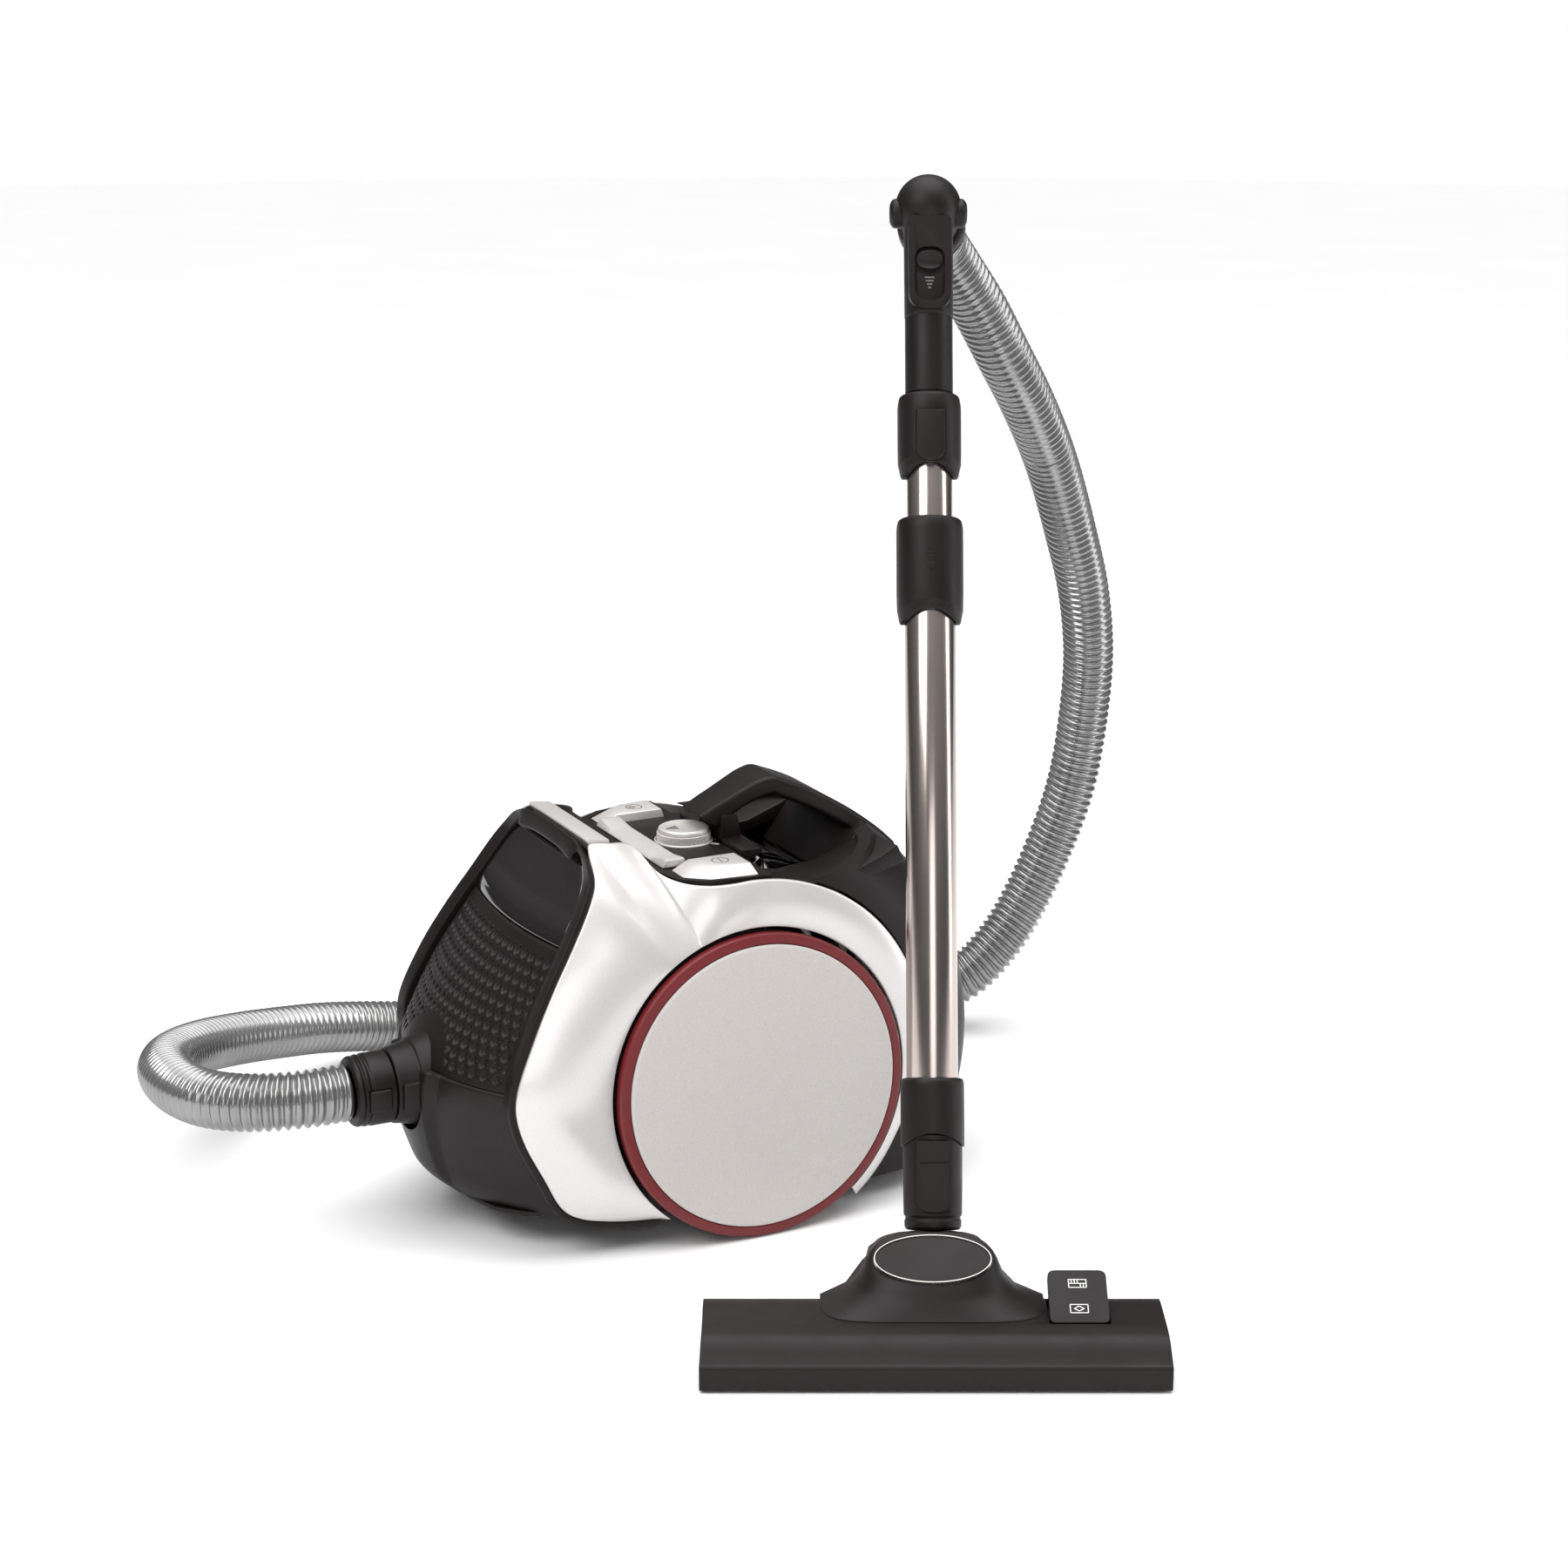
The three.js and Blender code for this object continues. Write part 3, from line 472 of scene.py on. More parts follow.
FLOOR_R, FLOOR_CORNERS, FLOOR_DROP = 9, 96, 0.0006  # in metres; the drop keeps the wheels from touching it
floor_mesh = bpy.data.meshes.new("floor")
floor_mesh.from_pydata([(x, y, -FLOOR_DROP) for x, y in oval(FLOOR_R, FLOOR_R, FLOOR_CORNERS)], [],
                       [tuple(range(FLOOR_CORNERS))])
floor = placed("floor", floor_mesh)
floor_mesh.materials.append(material("floor_paper", (0.95, 0.95, 0.95), 0.95, specular=0.1, tint=0.01,
                                     tint_scale=3))

# ------------------------ wheels
CAMBER = radians(4)
WHEEL_B = 120  # how far out each wheel stands
WHEEL_R = 104
WHEEL_LIFT = WHEEL_R * cos(CAMBER) + 0.6
SHELL_INNER_R = 107  # the painted shells' edge round the wheels
SKIN_POINTS = 15


def wheel(name, s):
    hub = CAN @ shift(0, s * WHEEL_B, WHEEL_LIFT) @ spin(s * CAMBER, "X")
    hub = hub @ spin(-s * pi / 2, "X")  # local +Z points out of the wheel
    rim = fillet([(6.4, -16), (13, -16), (14, -4), (84, -4), (87, -16), (90, -16), (98, -13), (102.5, -9),
                  (WHEEL_R, -6), (WHEEL_R, -0.5), (103, 0.8), (97, 1.4), (96.8, -0.1), (6.4, -0.1)], 1.0, 4)
    piece(f"{name}_rim", turned(rim, 160), hub, f"{name}_wheel_rim", crease=50)
    tyre = fillet([(99, -19.4), (101.6, -19.4), (102.6, -17.5), (102.9, -10.4), (99, -13.3)], 0.7, 3)
    piece(f"{name}_tyre", turned(tyre, 180, lambda t, r, h: 0.35 * cos(60 * t) if r > 101.5 else 0), hub,
          f"{name}_wheel_tyre")
    dish = fillet([(0.01, 3.4), (40, 3.3), (70, 3.0), (94.6, 2.6), (96.4, 1.9), (96.4, 0.4), (0.01, 0.4)],
                  [0, 20, 20, 0.8, 0.6, 0.1, 0], 5)
    piece(f"{name}_disc", turned(dish, 160), hub, f"{name}_wheel_cover", crease=50)


for side_name, s in SIDES:
    wheel(side_name, s)

# ------------------------ painted side shells
SHELL_FRONT = [(72, 20, 112), (100, 22, 109), (127, 28, 106.5), (139, 36, 105.5), (152, 60, 106),
               (166, 89, 107), (171, 109, 107.5), (169.5, 124, 107), (155, 157, 103), (137, 188, 96.5),
               (121, 212, 90.5), (106, 236, 83), (100, 247, 76), (97, 262, 60), (94, 266, 54.5),
               (80, 265, 54.5), (65, 262, 53), (54, 247, 75), (43, 242, 88), (28, 240.5, 98),
               (12, 241, 102.5)]


def shell_rear_radius(t):
    return 138 - 6 * ((t - 90) / 60) ** 2 if t < 150 else 132 - 13.5 * min(1, (t - 150) / 55)


SHELL_REAR = []
for i in range(18):
    t = 91 + 141 * i / 17
    r = shell_rear_radius(t)
    SHELL_REAR.append((r * cos(radians(t)), AXLE + r * sin(radians(t)),
                       104 + max(0, t - 100) * 0.08))


def painted_shell(name, s):
    stations = spline(SHELL_FRONT + SHELL_REAR, 260)
    rings = []
    for x, z, b in stations:
        t = atan2(z - AXLE, x)
        inner = np.array([SHELL_INNER_R * cos(t), 0, AXLE + SHELL_INNER_R * sin(t)])
        inner[1] = WHEEL_B - 4 - (inner[2] - AXLE) * tan(CAMBER)
        outer = np.array([x, b, z])
        crown = min(5, np.linalg.norm(outer - inner) * 0.07)
        skin = []
        for k in range(SKIN_POINTS):
            u = k / (SKIN_POINTS - 1)
            skin.append(inner + (outer - inner) * u + np.array([0, crown * 4 * u * (1 - u), 0]))
        wall = [p - np.array([0, 3, 0]) for p in skin[::-1]]
        flat_run = [0] * (SKIN_POINTS - 2)
        ring = fillet(skin + wall, [0.7] + flat_run + [0.9, 0.5] + flat_run + [0.5], 3)
        rings.append([(p[0], p[1] * s, p[2]) for p in ring])
    piece(f"{name}_painted_shell", loft(rings), node=f"{name}_shell", crease=40)


for side_name, s in SIDES:
    painted_shell(side_name, s)

# ------------------------ rear shoulders
SCOOP = [(-10, 310), (-10, 241), (-42, 237), (-72, 239.5), (-96, 247), (-118, 257), (-130, 310)]
LEDGE = [(-19, 227), (-19, 235), (-42, 231), (-72, 233.5), (-98, 243), (-112, 250), (-118, 238), (-98, 232),
         (-72, 226)]


def shoulder(name, s):
    rings = []
    for i in range(72):
        t = 98.5 + 139 * i / 71
        foot = shell_rear_radius(t) + 1.6
        section = fillet([(52.6, REAR_R), (70, REAR_R - 4.5), (87, REAR_R - 16), (99, REAR_R - 34),
                          (104, foot), (97, foot), (92, REAR_R - 36), (82, REAR_R - 23), (68, REAR_R - 13),
                          (52.6, REAR_R - 9)],
                         [0.8, 9, 9, 9, 1.2, 0.6, 5, 5, 5, 0.3], 4)
        c, q = cos(radians(t)), sin(radians(t))
        rings.append([(r * c, y * s, AXLE + r * q) for y, r in section])
    ledge = side(LEDGE, *sorted((52.6 * s, 97 * s)))
    piece(f"{name}_shoulder", loft(rings), node=f"{name}_rear_cover", crease=35,
          cuts=[side(fillet(SCOOP, 6, 5), -115, 115), block(-300, 300, -200, 200, -60, 15)])
    piece(f"{name}_shoulder_ledge", ledge, bevel=1.0)


for side_name, s in SIDES:
    shoulder(side_name, s)

# ------------------------ underside, rear plate and cable outlet
tub = [(-148, 56), (-120, 26), (-72, 15.2), (112, 17), (119, 26), (130, 62), (137, 100), (-158, 100),
       (-158, 84)]
hollow = [(-144, 58), (-118, 30), (-71, 19), (110, 21), (116, 28), (126, 63), (133, 120), (-154, 120),
          (-154, 85)]
piece("underside_tub", side(fillet(tub, 5, 4), -94, 94), node="lower_housing", bevel=1.6,
      cuts=[side(hollow, -90, 90), block(-200, -36, -51.4, 51.4, 53, 200), block(-200, -95, 78, 100, 0, 120),
            block(-200, -95, -100, -78, 0, 120)])
for i, x in enumerate((-56, -26, 4, 34, 64, 94)):
    piece(f"underside_rib_{i}", block(x, x + 3, -80, 80, 14.2, 16.4), bevel=0.5)
piece("rear_skirt", side(arc(REAR_R, 196.5, 237, 24) + arc(REAR_R - 9, 237, 196.5, 24), -52.2, 52.2),
      node="rear_plate", bevel=0.9,
      cuts=[block(-300, 300, -60, 60, -60, 15), moved(rod(7.4, -30, 30), shift(-178, 24, 40) @ ALONG_X)])
bush = fillet([(3.4, -9), (6.9, -9), (6.9, 1.8), (10, 2), (10, 5), (5.2, 6.2), (3.4, 5)], 0.8, 3)
piece("cable_bush", moved(turned(bush, 48), shift(-177, 24, 40) @ spin(pi, "Y") @ ALONG_X),
      node="cable_outlet_bush")

# ------------------------ front frame
UP, DOWN = (0.87, 0.5), (0.93, -0.36)
# Which way the frame faces at each point that it shares with the front edge of the painted shells.
FACING = [(0.05, -1), (0.15, -0.99), (0.45, -0.89), DOWN, DOWN, DOWN, (1, -0.1), (0.95, 0.3), *[UP] * 5]


def frame_ring(x, z, b, n, bar):
    back, deep = (-3, 11) if x < 138 and z < 40 else (-8, 13)
    corners = [(0.6, 0.3), (4.5, 0.3), (5, 1.2), (4, deep - 0.5), (back, deep), (back, 7), (0.6, 7)]
    ring = []
    for ahead, inward in corners:
        drop = inward * 0.9 if bar else 0
        ring.append((x + n[0] * ahead + drop * 0.5, b if bar else b - inward, z + n[1] * ahead - drop * 0.87))
    return fillet(ring, [0.6, 1.2, 1.2, 1.6, 0.5, 0.5, 0.5], 3)


half = [frame_ring(*place, n, False) for place, n in zip(SHELL_FRONT, FACING)]
half.append(frame_ring(97.6, 259, 60, UP, False))
half += [frame_ring(x, z, b, UP, True) for x, z, b in ((96.4, 264.2, 46), (96, 265.8, 24), (96, 266.4, 0))]
other = [[(p[0], -p[1], p[2]) for p in ring] for ring in half[-2::-1]]
piece("front_surround", loft(refine(half + other, 300)), node="front_frame", crease=40)

# ------------------------ front face
# Each row of the face: height, how far ahead its sides are, half width, and how far its middle stands out.
FACE = np.array([(256, 98.5, 49, 2), (249, 102, 58.8, 3), (236, 108.5, 68.8, 5), (212, 123, 76.4, 7),
                 (188, 139, 81.5, 11), (157, 157, 88, 19), (124, 171, 92, 30), (109, 172.5, 92.5, 34),
                 (89, 168, 92, 39), (73, 161, 91.5, 44), (55, 152.5, 91, 48), (36, 143, 90.5, 50),
                 (22, 132, 89, 47)], float)
FACE_FINE = spline(FACE, 240, dims=2)[::-1]
EDGE_ROUND = 1.0


def face_piece(name, node, high, low, depth, rows, columns, relief, crease, cuts=()):
    """A stretch of the front face; relief(y, z, u) is how far its surface stands out, in millimetres."""
    rings = []
    for z in np.linspace(high, low, rows):
        x, w, crown = [np.interp(z, FACE_FINE[:, 0], FACE_FINE[:, k]) for k in (1, 2, 3)]
        edge = min(high - z, z - low)
        roll = EDGE_ROUND * (1 - min(1, edge / EDGE_ROUND)) ** 2
        front = []
        for k in range(columns):
            u = -1 + 2 * k / (columns - 1)
            out = relief(w * u, z, u)
            near = (1 - abs(u)) * w
            turn_in = EDGE_ROUND * max(0, 1 - near / EDGE_ROUND) ** 2
            front.append((x + crown * (1 - u * u) + out * 0.93 - roll - turn_in, w * u, z + out * 0.3))
        back = [(x + crown * (1 - u * u) - depth, w * u, z) for u in np.linspace(1, -1, 13)]
        rings.append(front + back)
    piece(name, loft(rings), node=node, cuts=cuts, crease=crease)


def visor(y, z, u):
    """A shallow roll across the panel, above a lower lip that turns in."""
    lip = max(0.0, (216 - z) / 10)
    return -2.2 * lip**2 + 0.5 * sin(clamp((226 - z) / 14) * pi)


face_piece("gloss_visor", "front_panel", 253.5, 206, 4, 70, 61, visor, 60)

PITCH_Y, PITCH_Z = 9.2, 7.0


def honeycomb(y, z, u):
    """Round-bottomed cells in a staggered lattice, fading out towards the frame and the hose inlet."""
    row = round(z / PITCH_Z)
    best = 1e9
    for r in (row - 1, row, row + 1):
        cy = (y / PITCH_Y) - 0.5 * (r % 2)
        dy = (cy - round(cy)) * PITCH_Y
        best = min(best, hypot(dy, (z - r * PITCH_Z) * 1.08))
    dip = -3.0 * (1 - clamp((best - 2.1) / 1.3)) + 1.5 * max(0, 1 - best / 1.5)
    room = clamp(((1 - abs(u)) * 86 - 4) / 3) * clamp((200 - z) / 3) * clamp((z - 121) / 3)
    clear = clamp((hypot(y, z - INLET_Z) - 44) / 5)
    return -1.6 + dip * room * clear


face_piece("exhaust_honeycomb", "exhaust_grille", 205, 118, 7, 190, 291, honeycomb, 75,
           cuts=[moved(rod(32, 120, 260), shift(0, 0, INLET_Z) @ ALONG_X)])


def keel(y, z, u):
    """The raised middle of the bumper, widest under the hose inlet."""
    wide = np.interp(z, [22, 60, 101, 117], [22, 27, 33, 34])
    rise = np.interp(z, [22, 40, 80, 117], [1, 4.5, 6, 6])
    flank = clamp((wide + 7 - abs(y)) / 7)
    return rise * flank * flank * (3 - 2 * flank)


face_piece("front_lower", "front_bumper", 117.4, 22.2, 5, 96, 181, keel, 50,
           cuts=[moved(rod(31.8, 120, 260), shift(0, 0, INLET_Z) @ ALONG_X)])
base = [(131, -80), (150, -78), (168, -58), (177, -28), (179, 0), (177, 28), (168, 58), (150, 78), (131, 80)]
piece("front_floor", prism(fillet(base, 8, 4), 22.4, 25.8), bevel=0.8,
      cuts=[moved(rod(5.4, 10, 40), shift(CASTOR_X, 0, 0))])
band = fillet([(79, 263), (79, 267), (94, 269), (95.2, 267.6), (88.5, 257), (84, 257)], 0.6, 3)
piece("front_band", side(band, -50.8, 50.8), node="trim_band", bevel=0.5)

# ------------------------ hose inlet and cuff
AT_INLET = CAN @ shift(0, 0, INLET_Z) @ ALONG_X
inlet = fillet([(17, 178), (36, 178), (34.5, 187), (32, 196), (30.2, 203), (29.6, 204.6), (28.6, 205.2),
                (26.4, 214), (25.4, 221), (17, 221.4)], [0.5, 1, 10, 8, 3, 0.6, 0.6, 5, 1.2, 0.5], 4)
piece("inlet_housing", turned(inlet, 112), AT_INLET, "hose_inlet_neck", crease=35)
for side_name, s in SIDES:
    pad = prism(fillet([(-11, 200), (11, 200), (9.6, 219), (-9.6, 219)], 2.5, 4), 24, 30.2)
    turn = spin(-s * pi / 2, "X")
    swap = Matrix(((0, 1, 0, 0), (1, 0, 0, 0), (0, 0, 1, 0), (0, 0, 0, 1)))
    piece(f"inlet_pad_{side_name}", moved(pad, shift(0, 0, INLET_Z) @ turn @ swap), bevel=0.9)
cuff = fillet([(17, 222), (24.5, 222), (24.5, 236.8), (23.4, 238), (23.4, 239), (24.2, 240), (24.2, 241.4),
               (22.9, 242.4), (22.9, 243.2), (23.8, 244.2), (23.8, 245.6), (22.6, 247.5), (17, 247.5)],
              0.6, 3)
piece("cuff_sleeve", turned(cuff, 112), AT_INLET, "hose_cuff", crease=35,
      cuts=[moved(block(225.5, 241.5, 20.4, 40, -7.5, 7.5), ALONG_X.inverted()),
            moved(block(225.5, 241.5, -40, -20.4, -7.5, 7.5), ALONG_X.inverted())])
for side_name, s in SIDES:
    low, high = sorted((21.8 * s, 26.4 * s))
    piece(f"{side_name}_cuff_button", block(226, 241, low, high, 94, 108), node=f"{side_name}_cuff_latch",
          bevel=1.2)

# ------------------------ castor
fork = fillet([(0.01, 19), (14, 19), (14, 21.5), (5, 21.8), (5, 29), (0.01, 29)], 0.7, 3)
AT_CASTOR = CAN @ shift(CASTOR_X, 0, 0)
cheeks = [block(-13, 5, 7.6, 9.6, 6, 19.5), block(-13, 5, -9.6, -7.6, 6, 19.5)]
pin = moved(rod(2, -9, 9, 24), shift(-6, 0, 9) @ ALONG_Y)
piece("castor_yoke", turned(fork, 48), AT_CASTOR, "castor_fork", adds=[*cheeks, pin], bevel=0.4)
roller = fillet([(2.4, -7), (7, -7), (8.6, -5.4), (9, -3), (9, 3), (8.6, 5.4), (7, 7), (2.4, 7)], 0.8, 3)
piece("castor_tyre", moved(turned(roller, 56), shift(-6, 0, 9) @ ALONG_Y), AT_CASTOR, "castor_wheel")

# ------------------------ control deck
deck_half = [(78, 48), (66, 47), (53, 68), (43, 82), (28, 92), (0, 97.5), (-17, 98.5)]
deck_plan = deck_half + [(x, -y) for x, y in deck_half[::-1]]
key_well = [(38.6, 57.4), (38.6, 79), (23.6, 91), (-10.6, 94.6), (-10.6, 57.4)]
wells = [prism([(x, y * s) for x, y in key_well], 229, 300) for s in (1, -1)]
above = side([(-60, 243), (44, 243), (52, 246), (66, 260), (78, 262), (120, 262), (120, 330), (-60, 330)],
             -130, 130)
below = side([(120, 250), (78, 250), (58, 226), (-60, 226), (-60, 150), (120, 150)], -130, 130)
piece("deck", prism(deck_plan, 210, 300), node="control_deck", bevel=1.0,
      cuts=[above, below, *wells, moved(rod(20.5, 238.6, 300), shift(DIAL_X, 0, 0)),
            moved(rod(5.4, 200, 300, 24), shift(DIAL_X, 0, 0))])
# The bridge between the keys lies low in front of the dial and climbs to meet each key.
rows = []
for y in (-56, -52, -36, -34, 6, 6.6, 34, 36, 52, 56):
    top = np.interp(abs(y), [0, 35, 52, 56], [245.6, 245.6, 248.4, 248.4]) - (0.5 if 5 < y < 7 else 0)
    inner = np.interp(abs(y), [24, 56], [24, 26])
    rows.append([(43.2, y, 243.4), (42.9, y, 244.2), (40.4, y, top), (inner + 1, y, top), (inner, y, 243.4)])
piece("bridge_plate", loft(rows), node="control_fascia", bevel=0.5,
      cuts=[moved(rod(20.5, 238.6, 300, 96), shift(DIAL_X, 0, 0))])

FOOT = [(38, 58), (38, 78.6), (23.2, 90.4), (-10, 94), (-10, 58)]
CAP = [(26, 59), (25, 72), (14, 82), (-8, 84.5), (-8, 59)]
MARK_ROOT = -0.2  # how deep the small marks reach into the piece they stand on


def stroke(points, width, high, closed=False):
    """A thin raised line along points in a plane."""
    shapes = []
    pts = arr(points)
    n = len(pts)
    for i in range(n if closed else n - 1):
        a, b = pts[i], pts[(i + 1) % n]
        d = (b - a) / max(np.linalg.norm(b - a), 1e-9)
        q = np.array([-d[1], d[0]]) * width / 2
        e = d * width * 0.35
        shapes.append(prism([tuple(a - e - q), tuple(b + e - q), tuple(b + e + q), tuple(a - e + q)],
                            MARK_ROOT, high))
    return shapes


def ring_mark(r, width, high):
    near, far = r - width / 2, r + width / 2
    return turned(oblong(near, far, MARK_ROOT, high), 40)


def foot_key(name, node, s, mark):
    rings = [[(x, y * s, z) for x, y in ring] for ring, z in ((FOOT, 235.2), (FOOT, 242), (CAP, 248.6))]
    piece(name, loft(rings), node=node, bevel=0.9)
    piece(f"{name}_mark", moved(merged(*mark), shift(8, 71 * s, 248.55)), body=BODY_OF[node],
          finish=MARK_DARK, flat=True)


on_off = [ring_mark(5.6, 0.7, 0.12), *stroke([(0, -3.4), (0, 3.4)], 0.8, 0.13)]
plug = [ring_mark(5.6, 0.7, 0.12), *stroke([(-3, 0), (0.4, 0)], 0.8, 0.13),
        *stroke([(0.4, -2.2), (0.4, 2.2), (2.6, 1.8), (2.6, -1.8)], 0.7, 0.13, True),
        *stroke([(2.6, 1), (4.2, 1)], 0.6, 0.13), *stroke([(2.6, -1), (4.2, -1)], 0.6, 0.13)]
foot_key("power_foot_key", "power_key", 1, on_off)
foot_key("rewind_foot_key", "rewind_key", -1, plug)

AT_DIAL = CAN @ shift(DIAL_X, 0, 0)
dial_rows = [(0.01, 228), (5, 228), (5, 239.2), (17.6, 239.2), (17.6, 240.4)]
dial_rows += [(18.1, h) for h in np.linspace(240.8, 248.8, 22)]
dial_rows += [(17.7, 249.2), (17.7, 250.8), (17.2, 251.9), (16, 252.6), (14, 252.6), (13.2, 252.2),
              (0.01, 252.2)]


def knurl(t, r, h):
    if not (240.7 < h < 248.9 and r > 17.9):
        return 0
    a = 84 * t / (2 * pi)
    up = (h - 240.8) / 8 * 4.0
    first, second = (a + up) % 1, (a - up) % 1
    return 0.45 * (min(abs(first - 0.5), abs(second - 0.5)) * 4 - 0.6)


piece("dial_knob", turned(dial_rows, 504, knurl), AT_DIAL, "power_dial", crease=28)
piece("dial_pointer", prism([(13.4, 0), (5.0, 3.6), (5.0, -3.6)], 252.0, 252.75), AT_DIAL,
      body=BODY_OF["power_dial"], finish=MARK_GREY, slot="silver_paint", bevel=0.15)
dial_collar = fillet([(19, 238.8), (20.3, 238.8), (20.3, 243.6), (19.4, 244.2), (19, 243.6)], 0.3, 2)
piece("dial_collar", turned(dial_collar), AT_DIAL, slot="silver_paint")
for k, turn in enumerate((128, 158, 188, 218)):
    inner, outer = 21.2, 26.6 + 0.8 * k
    half_width = 1.2 + 0.3 * k
    mark = prism([(inner, -0.8), (outer, -half_width), (outer + 0.8, 0), (outer, half_width), (inner, 0.8)],
                 243.0, 243.3)
    piece(f"dial_step_{k}", moved(mark, spin(radians(turn), "Z")), AT_DIAL, slot="silver_paint", flat=True)

# ------------------------ dust container, its lid and the carrying handle
CLEAR_TOP = 141
can_outer = arc(REAR_R, 140, 195, 48) + [(-176, 55), (-42, 55)] + arc(CLEAR_TOP, 104, 136, 28)
can_inner = arc(REAR_R - 3, 142.5, 193.5, 48) + [(-172, 58), (-45, 58)] + arc(CLEAR_TOP - 3, 104.5, 139, 28)
piece("clear_container", side(can_outer, -50, 50), node="dust_container", bevel=2.0, crease=40,
      cuts=[side(can_inner, -47.4, 47.4), moved(rod(16, -80, -20), shift(0, 0, 190) @ ALONG_X)])
core = fillet([(0.01, 62), (12, 62), (24, 90), (24, 150), (34, 153), (34, 172), (0.01, 172)], 1.5, 3)


def pleats(t, r, h):
    return 0.6 * cos(36 * t) if 92 < h < 148 and r > 20 else 0


piece("cyclone_body", turned(core, 144, pleats), CAN @ shift(-88, 0, 0), "cyclone_core")
LID, LID_R = BODY_OF["container_lid"], REAR_R - 1
lid_front = [(-18, 236), (-18, 246), (-33, 246), (-34, 242.6)]
lid_foot = [(-18, 240), (-18, 262), (-30, 262), (-33.4, 245)]
lid_rear = arc(LID_R, 126, 139, 14) + arc(CLEAR_TOP + 1.5, 135.6, 126, 12)
# The handle's arch: outer point, inner point and half width of each station, from its front foot to the lid.
ARCH = [(-3, 262.4, -18, 252, 16), (-13, 267.8, -24, 257.5, 16.4), (-24, 273, -31, 262, 17),
        (-36, 278.8, -40, 267, 18), (-47, 283.4, -50, 270.4, 19.4), (-57, 285.2, -57.5, 271.8, 20.6),
        (-68, 281.4, -65, 268.6, 23), (-80, 276.2, -75, 264.3, 27), (-92, 270.2, -85, 259.3, 33),
        (-104, 263, -96, 252.6, 40), (-116, 254.4, -107, 244.8, 46), (-127, 245.2, -117.5, 236.8, 50),
        (-136.4, 236, -127, 228, 51.8)]
arch_rings = []
for x0, z0, x1, z1, w in ARCH:
    outer, inner = np.array([x0, 0, z0]), np.array([x1, 0, z1])
    lift = (outer - inner) * 0.16
    ring = [outer + (0, -w * 0.9, 0), outer + (0, w * 0.9, 0), outer - lift + (0, w, 0),
            inner + lift + (0, w, 0), inner + (0, w * 0.86, 0), inner - (0, w * 0.86, 0),
            inner + lift - (0, w, 0), outer - lift - (0, w, 0)]
    arch_rings.append(fillet(ring, 2.4, 3))
piece("lid_and_handle", loft(refine(arch_rings, 120)), node="container_lid", bevel=0.8, crease=40)
piece("lid_front_bridge", side(fillet(lid_front, 1.5, 3), -50, 50), body=LID, bevel=1.4)
piece("lid_handle_foot", side(fillet(lid_foot, 2, 3), -18, 18), body=LID, bevel=1.8)
piece("lid_rear_bridge", side(lid_rear, -52, 52), body=LID, bevel=1.4)

# ------------------------ inside the canister
coil = [(8, -14), (54, -14), (54, -11), (30, -11), (30, 11), (54, 11), (54, 14), (8, 14)]
piece("cable_drum", moved(turned(fillet(coil, 0.6, 2), 72), shift(-92, -72, 108) @ ALONG_Y),
      node="cable_reel")

# ------------------------ floor head
HX, HY = 158, -342  # the middle of the head's front edge, on the floor
AT_HEAD = HEAD @ shift(HX, HY, 0)
head_side = [(-1.5, 1.2), (-1.5, 15.6), (-0.4, 16.8), (0.8, 17.4), (4, 20.4), (8, 24.6), (11.4, 27.4),
             (16, 29.4), (26, 30.8), (60, 31), (70, 28.5), (76, 23), (79, 12), (78, 1.2)]


def across_head(points, x0, x1, lean=0.0):
    """A section (back, height) carried along the head; lean pulls the ends in with height."""
    ring = fillet(points, [0.8, 0.8, 0.5, 0.5, 2, 3, 3, 4, 6, 6, 5, 4, 2, 0.8], 4)
    rings = []
    for x in (x0, x0 + 1.5, x1 - 1.5, x1):
        rings.append([(x - copysign(lean * max(0, p[1] - 16), x), p[0], p[1]) for p in ring])
    return loft(rings)


slots = [block(-128, 128, 10.6, 15.4, -1, 18), block(-128, 128, 56.6, 61.4, -1, 18)]
mouth = block(-118, 118, 24, 46, -1, 15)
pedal_well = block(70, 107, 29, 67, 22.5, 80)
piece("head_shell", across_head(head_side, -142, 142, 0.08), AT_HEAD, "head_body", bevel=0.9,
      cuts=[*slots, mouth, pedal_well])
TUFTS, STRIP_LENGTH = 84, 250
for node, y in (("front_bristles", 11.2), ("rear_bristles", 57.2)):
    tufts = []
    for k in range(TUFTS):
        x = STRIP_LENGTH * k / (TUFTS - 1) - STRIP_LENGTH / 2
        tip_x = x + 0.5 * sin(k * 2.3)
        root, tip = oblong(x - 1.3, x + 1.3, y + 0.2, y + 3.4), oblong(tip_x - 1, tip_x + 1, y, y + 3.6)
        tufts.append(loft([[(*p, 12) for p in root], [(*p, 0.5) for p in tip]]))
    piece(f"{node}_tufts", merged(*tufts), AT_HEAD, node, flat=True)

# The hood: height, half width, front edge and back edge of each row.
HOOD_ROWS = [(31.2, 69, 30, 120), (33.5, 61, 32, 120), (36.5, 54, 34.5, 120), (41, 48.5, 38, 118),
             (47, 44, 42.5, 112), (51.5, 42, 46.8, 106), (57, 39.6, 55.8, 97), (62.5, 36, 65, 88),
             (66.5, 30.5, 71.6, 82), (69, 22, 75.2, 79), (69.6, 14, 76, 78.5)]
PIVOT = (NECK[0] - HX, NECK[1] - HY - 10 * sin(LEAN), NECK[2] - 10 * cos(LEAN))


